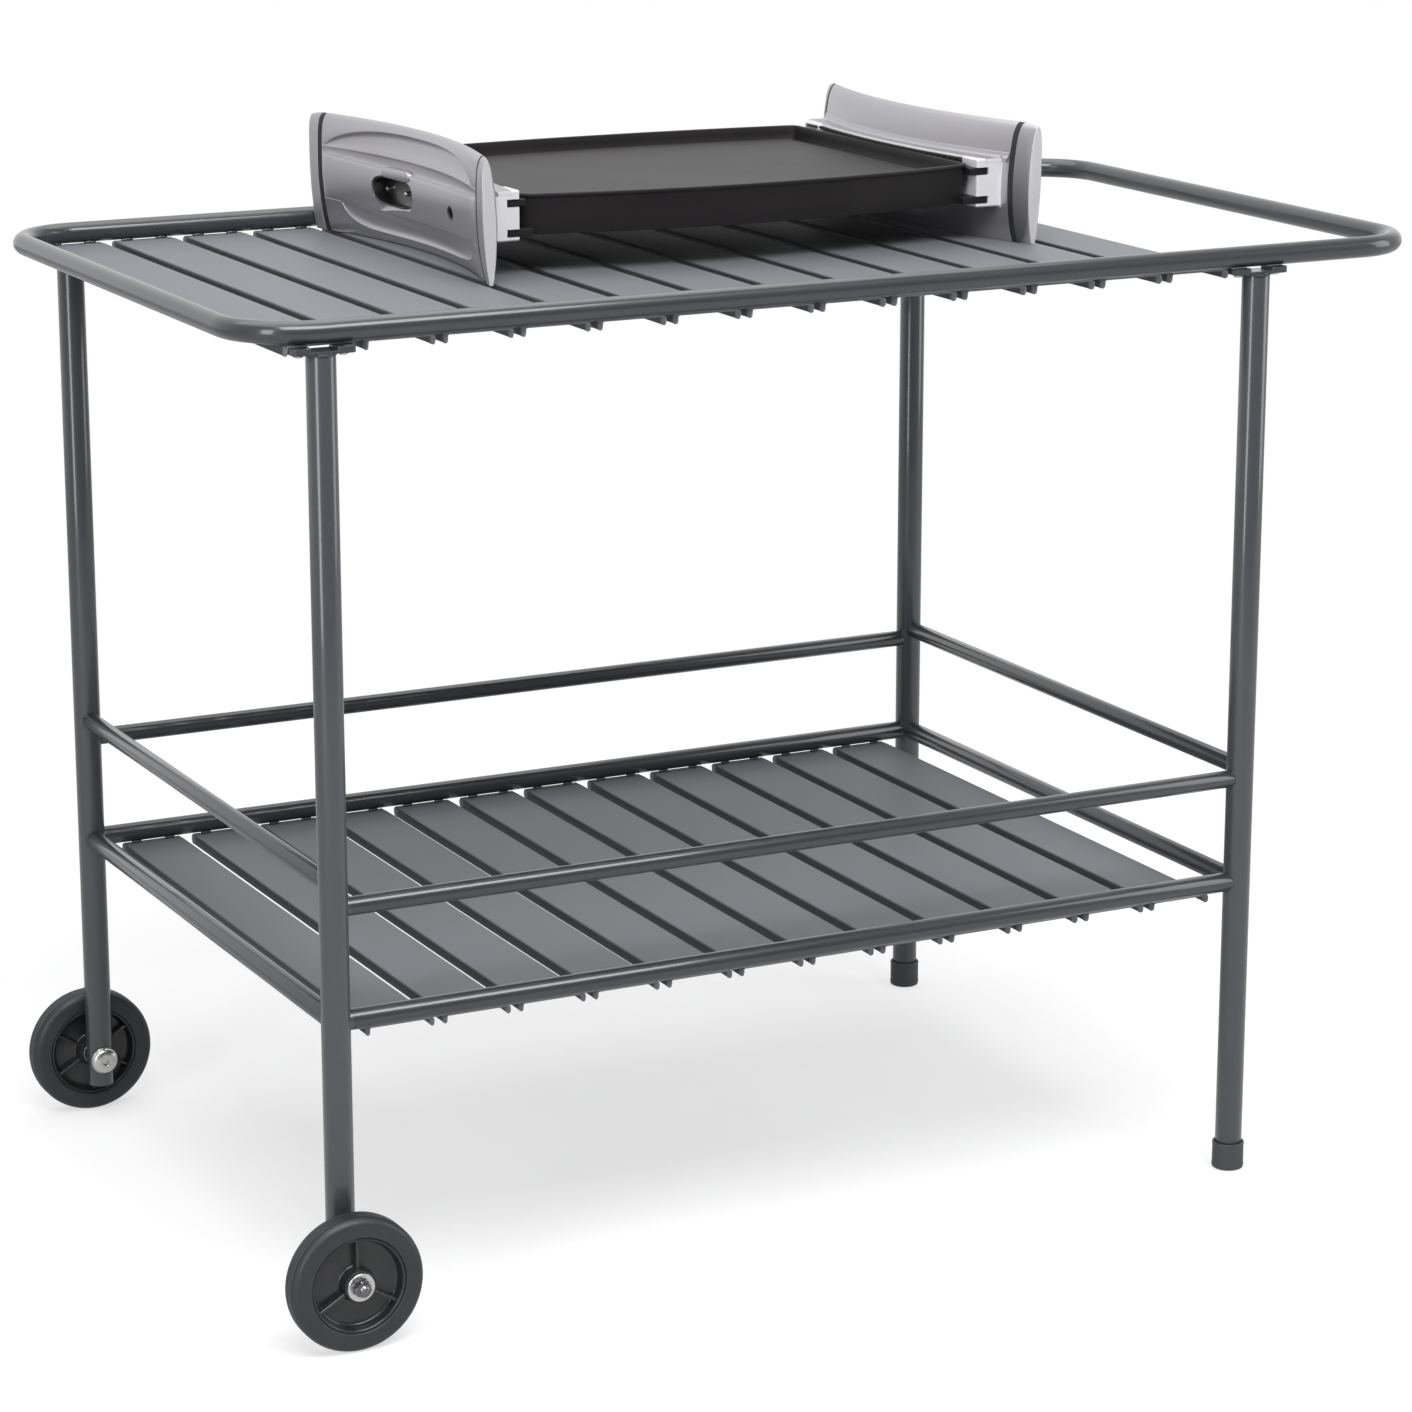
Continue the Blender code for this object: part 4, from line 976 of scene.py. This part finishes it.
def stand(sign):
    """A blade between its seams, lofted lengthwise: the outer relief, the inner face and the ledge."""
    loops = []
    for k in range(97):
        v = SEAM_START * (k / 48 - 1)
        section = [(blade_face(v, w, 1) + out, w) for w, out in relief(v)]
        section.append((blade_middle(v) + STAND_LEAN, STAND_HEIGHT))
        tip = ledge_tip(v)
        root = blade_face(v, LEDGE_TOP, -1)
        for share in (0.985, 0.965, 0.94, 0.91, 0.87, 0.83, 0.78):
            section.append((blade_face(v, STAND_HEIGHT * share, -1), STAND_HEIGHT * share))
        section.append((blade_face(v, LEDGE_TOP + 0.0052, -1), LEDGE_TOP + 0.0052))
        for a, b in ((-0.0003, 0.0050), (0.0005, 0.0046), (0.0008, 0.0034), (0.0013, 0.0020),
                     (0.0021, 0.0009), (0.0033, 0.0002), (0.0045, 0.0)):
            section.append((root - a, LEDGE_TOP + b))
        low = LEDGE_TOP - LEDGE_THICK
        section += [(tip + 0.0013, LEDGE_TOP), (tip + 0.0004, LEDGE_TOP - 0.0004), (tip, LEDGE_TOP - 0.0013),
                    (tip, low + 0.0005), (tip + 0.0005, low), (blade_face(v, low, -1), low)]
        for share in (0.60, 0.54, 0.48, 0.42, 0.36, 0.30, 0.23, 0.16, 0.10, 0.05, 0.0):
            section.append((blade_face(v, STAND_HEIGHT * share, -1), STAND_HEIGHT * share))
        loops.append([griddle_at(sign, u, v, w) for u, w in section])
    return skinned(loops)


def solid(name, bm, finish):
    """A closed mesh object that isn't ridden: a cutter or a part of a cut piece."""
    return piece(name, bm, finish, None)


def brick(low, high, edge):
    """A box with its upright and level edges broken."""
    mid = (low + high) / 2
    size = high - low
    return skinned([rounded(mid.x, mid.y, size.x - 2 * i, size.y - 2 * i, edge * 1.2 - i, z)
                    for z, i in ((low.z, edge), (low.z + edge, 0), (high.z - edge, 0), (high.z, edge))])


def griddle_brick(sign, u, v, w, edge):
    """A box between two places out, back and up on the griddle."""
    a = griddle_at(sign, u[0], v[0], w[0])
    b = griddle_at(sign, u[1], v[1], w[1])
    return brick(Vector([min(p, q) for p, q in zip(a, b)]), Vector([max(p, q) for p, q in zip(a, b)]), edge)


def oval_loop(half_v, half_w, u, v0=INLET_V, w0=INLET_W, power=3.0):
    """A loop on the left stand: a squarish oval for the inlet, or a true one with a power of 2."""
    loop = []
    for k in range(64):
        a = 2 * pi * k / 64
        c, s = cos(a), sin(a)
        stretch = (abs(c) ** power + abs(s) ** power) ** (-1 / power)
        loop.append(griddle_at(-1, u, v0 + half_v * c * stretch, w0 + half_w * s * stretch))
    return loop


def changed(obj, shapes, operation, finish):
    """Joins the shapes to obj, or cuts them out of it, and gives back its mesh for the final piece."""
    others = [solid("shape", shape, finish) for shape in shapes]
    for other in others:
        modifier = obj.modifiers.new(other.name, "BOOLEAN")
        modifier.operation = operation
        modifier.solver = "EXACT"
        modifier.object = other
    bm = bmesh.new()
    bm.from_mesh(bpy.data.meshes.new_from_object(obj.evaluated_get(bpy.context.evaluated_depsgraph_get())))
    for other in others + [obj]:
        bpy.data.objects.remove(other, do_unlink=True)
    return bm


for side, sign in (("left", -1), ("right", 1)):
    brackets = []
    cuts = []
    for end in (-1, 1):
        span = [end * place for place in BRACKET_SPAN]
        root = (blade_middle(span[0]) + blade_middle(span[1])) / 2
        brackets.append(griddle_brick(sign, (BRACKET_ROOT, root), span, BRACKET_HEIGHTS, 0.0012))
        if end < 0:
            cuts.append(griddle_brick(sign, *LEDGE_CUT, 0.0002))
        for level in NOTCH_LEVELS:
            span = [end * place for place in NOTCH_SPAN]
            heights = (level - 0.0003, level + 0.0068)
            cuts.append(griddle_brick(sign, NOTCH_REACH, span, heights, 0.0002))
    if side == "left":
        face = blade_middle(INLET_V) + BLADE_HALF
        pocket = [oval_loop(INLET_HALF_V + 0.0003, INLET_HALF_W + 0.0003, u)
                  for u in (STAND_OUT, face - 0.0088)]
        wedge = ((0.0150, 0.0290), (0.0030, 0.0300), (-0.0015, 0.0400), (0.0150, 0.0400))
        lip = [[griddle_at(-1, face + u, v, w) for u, w in wedge] for v in INLET_LIP]
        depths = (STAND_OUT, blade_middle(KEY_V) + 0.003)
        key = [oval_loop(0.0088, 0.0064, u, KEY_V, KEY_W, 2.0) for u in depths]
        cuts += [skinned(loops) for loops in (pocket, lip, key)]
    shell = solid("shell", stand(sign), stand_shell)
    shell = solid("shell", changed(shell, brackets, "UNION", stand_shell), stand_shell)
    final = changed(shell, cuts, "DIFFERENCE", stand_shell)
    piece("%s_blade" % side, final, stand_shell, "griddle", ["%s_stand" % side], 32)

# Hood over the inlet: a raised tab cast with the left stand, which follows the panel and keeps drips out of
# the socket. Its outline is a long oval with broken edges.
HOOD_V = 0.0460
HOOD_W = 0.0672
HOOD_HALF_V = 0.0265
HOOD_HALF_W = 0.0048
HOOD_ROUND_V = 0.0055
HOOD_ROUND_W = 0.0040

loops = []
for inset, rise in ((0.0, -0.0030), (0.0, 0.0006), (0.0003, 0.0011), (0.0010, 0.0014)):
    loop = []
    for quarter, (sv, sw) in enumerate(CORNERS):
        for k in range(7):
            a = pi / 2 * (quarter + k / 6)
            v = HOOD_V + sv * (HOOD_HALF_V - HOOD_ROUND_V) + (HOOD_ROUND_V - inset) * cos(a)
            w = HOOD_W + sw * (HOOD_HALF_W - HOOD_ROUND_W) + (HOOD_ROUND_W - inset) * sin(a)
            loop.append(griddle_at(-1, blade_face(v, 0.0660, 1) + 0.0027 + rise, v, w))
    loops.append(loop)
piece("inlet_hood", skinned(loops), stand_shell, "griddle")

# Power inlet: a black moulded plastic cup pressed into the stand's pocket, with two nickel-bright pins that
# take the plug of the heat control.
PIN_PLACES = (-0.015, 0.029)
inlet_plastic = Finish("inlet plastic", (0.014, 0.014, 0.015), 0.0, 0.28,
                       Coat_Weight=0.3, Coat_Roughness=0.15)
inlet_plastic.set("Roughness", 0.24 + inlet_plastic.noise(300.0, 2.0) * 0.12)
inlet_plastic.bump(inlet_plastic.noise(900.0, 2.0), 0.1, 0.0002)
face = blade_middle(INLET_V) + BLADE_HALF


def rim_loop(half_v, half_w, below):
    """An oval that follows the blade's bowed face, a little below it."""
    loop = oval_loop(half_v, half_w, 0.0)
    for point in loop:
        point.x = GRIDDLE.x - blade_face(point.y - GRIDDLE.y, point.z - GRIDDLE.z, 1) - 0.0024 + below
    return loop


loops = [oval_loop(INLET_HALF_V, INLET_HALF_W, face - 0.0085)]
for inset, below in ((0.0, 0.0012), (0.0003, 0.0008), (0.0009, 0.0008), (0.0013, 0.0012)):
    loops.append(rim_loop(INLET_HALF_V - inset, INLET_HALF_W - inset, below))
for inset, depth in ((0.0017, 0.0068), (0.0027, 0.0072)):
    loops.append(oval_loop(INLET_HALF_V - inset, INLET_HALF_W - inset, face - depth))
piece("inlet_cup", skinned(loops), inlet_plastic, "griddle", ["power_inlet"])
pin_profile = ((0.0, 0.0), (0.0024, 0.0), (0.0024, 0.0044), (0.0018, 0.0055), (0.0, 0.0058))
bm = bmesh.new()
for v in PIN_PLACES:
    turned(bm, pin_profile, griddle_at(-1, face - 0.0074, INLET_V + v, INLET_W), Vector((-1, 0, 0)))
piece("inlet_pins", bm, zinc, "griddle")

# Key socket: a blind black plastic plug with a small steel contact, sunk a little in its oval hole by the
# left stand's front end. The black plug stands in for the painted shade deep in the hole.
sunk = blade_face(KEY_V, KEY_W, 1) + 0.0014
plug = ((0.0086, -0.0050), (0.0086, -0.0004), (0.0083, 0.0), (0.0066, -0.0004), (0.0060, -0.0034))
# Painted shade: the plug's black face darkens the hole as its shade would.
loops = [oval_loop(r, r * 0.73, sunk + rise, KEY_V, KEY_W, 2.0) for r, rise in plug]
piece("key_hole_shade_plug", skinned(loops), inlet_plastic, "griddle")
bm = bmesh.new()
turned(bm, [(0.0, 0.0), (0.0014, 0.0), (0.0013, 0.0012), (0.0007, 0.0018), (0.0, 0.0020)],
       griddle_at(-1, sunk - 0.0035, KEY_V - 0.0010, KEY_W - 0.0020), Vector((-1, 0, 0)))
piece("key_contact", bm, zinc, "griddle")

# Seams and end caps: a black sealing strip, nearly flush, wraps over each blade's end where its cap begins.
# The caps are moulded in a lighter grey, thin to a crisp lens-shaped end face and are pushed on over the
# strip.
cap_parts = {"seam": ((SEAM_START - 0.0010, 0.0010), (SEAM_START + 0.0001, 0.0002), (SEAM_END, 0.0002),
                      (SEAM_END + 0.0003, 0.0005)),
             "cap": ((SEAM_END, 0.0003), (SEAM_END + 0.0003, 0.0), (0.1880, 0.0006), (0.1940, 0.0018),
                     (STAND_HALF - 0.0008, 0.0031), (STAND_HALF - 0.0003, 0.0033), (STAND_HALF, 0.0039),
                     (STAND_HALF - 0.0003, 0.0050))}
for side, sign in (("left", -1), ("right", 1)):
    for label, end in (("front", -1), ("back", 1)):
        for kind, stations in cap_parts.items():
            loops = []
            for v, inset in stations:
                squeeze = 1 - inset / BLADE_HALF
                drop = 1 - inset / STAND_HEIGHT * 0.8
                outer = []
                inner = []
                for k in range(33):
                    w = STAND_HEIGHT * (0.5 - 0.5 * cos(pi * k / 32))
                    if k == 32:
                        outer.append((blade_middle(v) + STAND_LEAN, w * drop))
                        continue
                    pair = (blade_face(v, w, 1), blade_face(v, w, -1))
                    centre = sum(pair) / 2
                    outer.append((centre + (pair[0] - centre) * squeeze, w * drop))
                    inner.append((centre + (pair[1] - centre) * squeeze, w * drop))
                loops.append([griddle_at(sign, u, end * v, w) for u, w in outer + inner[::-1]])
            name = "%s_stand_%s_%s" % (side, label, kind)
            if kind == "seam":
                piece(name, skinned(loops), seam_rubber, "griddle")
            else:
                piece(name + "_shell", skinned(loops), end_cap, "griddle", [name], 35)

# Heat comb: a moulded black strip of teeth clipped under each ledge, which lets hot air out between the
# plate and the stand.
COMB_START = -0.1385
COMB_LENGTH = 0.3005
TEETH = 29
TOOTH_PITCH = 0.0094
TOOTH_HALF = 0.0027
comb_section = ((-0.0004, 0.0752), (-0.0006, 0.0750), (-0.0006, 0.0732), (-0.0002, 0.0729), (0.0030, 0.0729),
                (0.0032, 0.0731), (0.0032, 0.0740), (0.0010, 0.0742), (0.0004, 0.0752))
comb = Finish("comb plastic", (0.020, 0.020, 0.021), 0.0, 0.5)
comb.set("Roughness", 0.42 + comb.noise(400.0, 2.0) * 0.16)
comb.bump(comb.noise(700.0, 2.0), 0.1, 0.0002)
for side, sign in (("left", -1), ("right", 1)):
    loops = []
    for k in range(48):
        v = COMB_START + COMB_LENGTH * k / 47
        tip = ledge_tip(v) if v < BRACKET_SPAN[0] else BRACKET_ROOT - 0.0005
        loops.append([griddle_at(sign, tip + u, v, w) for u, w in comb_section])
    bm = skinned(loops)
    for k in range(TEETH):
        v = TOOTH_PITCH * (k - TEETH // 2)
        tip = ledge_tip(v)
        tooth = griddle_brick(sign, (tip - 0.0005, tip + 0.0030), (v - TOOTH_HALF, v + TOOTH_HALF),
                              (0.0714, 0.0736), 0.0003)
        mesh = bpy.data.meshes.new("tooth")
        tooth.to_mesh(mesh)
        tooth.free()
        bm.from_mesh(mesh)
    piece("%s_heat_comb" % side, bm, comb, "griddle")

# Griddle plate: die-cast aluminium with a sprayed non-stick coat, bowed at front and back, with a raised
# rim, a gutter all round and four pairs of prongs that drop into the brackets' notches.
plate_coating = Finish("plate coating", (0.016, 0.014, 0.015), 0.0, 0.38, Specular_IOR_Level=0.20)
x, y, z = plate_coating.axes()
speck = plate_coating.noise(620.0, 4.0, 0.65)
blot = plate_coating.noise(16.0, 3.0)
coat = plate_coating.mix(blot.above(0.5, 0.6), (0.013, 0.0115, 0.0125), (0.019, 0.017, 0.018))
plate_coating.set("Base Color", coat)
plate_coating.set("Roughness", 0.36 + speck * 0.10 + blot * 0.06)
plate_coating.bump(speck * 0.7 + plate_coating.noise(1500.0, 2.0) * 0.3, 0.32, 0.0004)

PLATE_U = 0.2285
PLATE_V = 0.170
PLATE_BACK = 0.010
PLATE_CORNER = 0.010
BOW_FRONT = 0.030
BOW_BACK = 0.015
PLATE_TOP = 0.0725
PLATE_FLOOR = PLATE_TOP - 0.0105
PRONG_HEIGHT = 0.0065
PRONG_MIDDLE = 0.1505
PRONG_ROOTS = (0.2185, 0.2249)
PRONG_REACH = 0.2440
GUTTER = PLATE_FLOOR - 0.0035
plate_section = ((0.0052, 0.0355), (0.0046, 0.0357), (0.0043, 0.0363), (0.0034, 0.0480), (0.0024, 0.0590),
                 (0.0014, 0.0672), (0.0012, 0.0682), (0.0009, 0.0688), (0.0002, 0.0694), (0.0, 0.0700),
                 (0.0, 0.0714), (0.0003, 0.0721), (0.0011, PLATE_TOP), (0.0034, PLATE_TOP), (0.0043, 0.0722),
                 (0.0046, 0.0714), (0.0051, 0.0660), (0.0056, GUTTER + 0.0015), (0.0062, GUTTER + 0.0003),
                 (0.0075, GUTTER), (0.0150, GUTTER), (0.0166, GUTTER + 0.0004),
                 (0.0190, PLATE_FLOOR - 0.0006), (0.0205, PLATE_FLOOR), (0.0225, PLATE_FLOOR))


def plate_loop(inset, w):
    """The plate's outline at one inset and height, bowed at the front and, half as much, at the back."""
    half_u = PLATE_U - inset
    half_v = PLATE_V - inset
    corner = max(PLATE_CORNER - inset, 0.0015)
    loop = []
    for quarter, (su, sv) in enumerate(CORNERS):
        cu = su * (half_u - corner)
        cv = sv * (half_v - corner)
        for k in range(9):
            a = pi / 2 * (quarter + k / 8)
            loop.append((cu + corner * cos(a), cv + corner * sin(a)))
        if quarter in (0, 2):
            loop += [(cu - su * 2 * (half_u - corner) * k / 48, sv * half_v) for k in range(1, 48)]
    points = []
    for u, v in loop:
        bow = (BOW_BACK if v > 0 else BOW_FRONT) * max(0.0, 1 - (u / half_u) ** 2) * (v / half_v)
        points.append(griddle_at(1, u, v + bow + PLATE_BACK, w))
    return points


body = solid("plate_body", skinned([plate_loop(inset, w) for inset, w in plate_section]), plate_coating)
prongs = []
for sign in (-1, 1):
    for end in (-1, 1):
        span = (end * (PRONG_MIDDLE - 0.008), end * (PRONG_MIDDLE + 0.0163))
        for level, root in zip(NOTCH_LEVELS, PRONG_ROOTS):
            heights = (level, level + PRONG_HEIGHT)
            prongs.append(griddle_brick(sign, (root, PRONG_REACH), span, heights, 0.0008))
casting = changed(body, prongs, "UNION", plate_coating)
piece("griddle_casting", casting, plate_coating, "griddle", ["griddle_plate"], 35)

bpy.context.scene.view_settings.view_transform = "Standard"
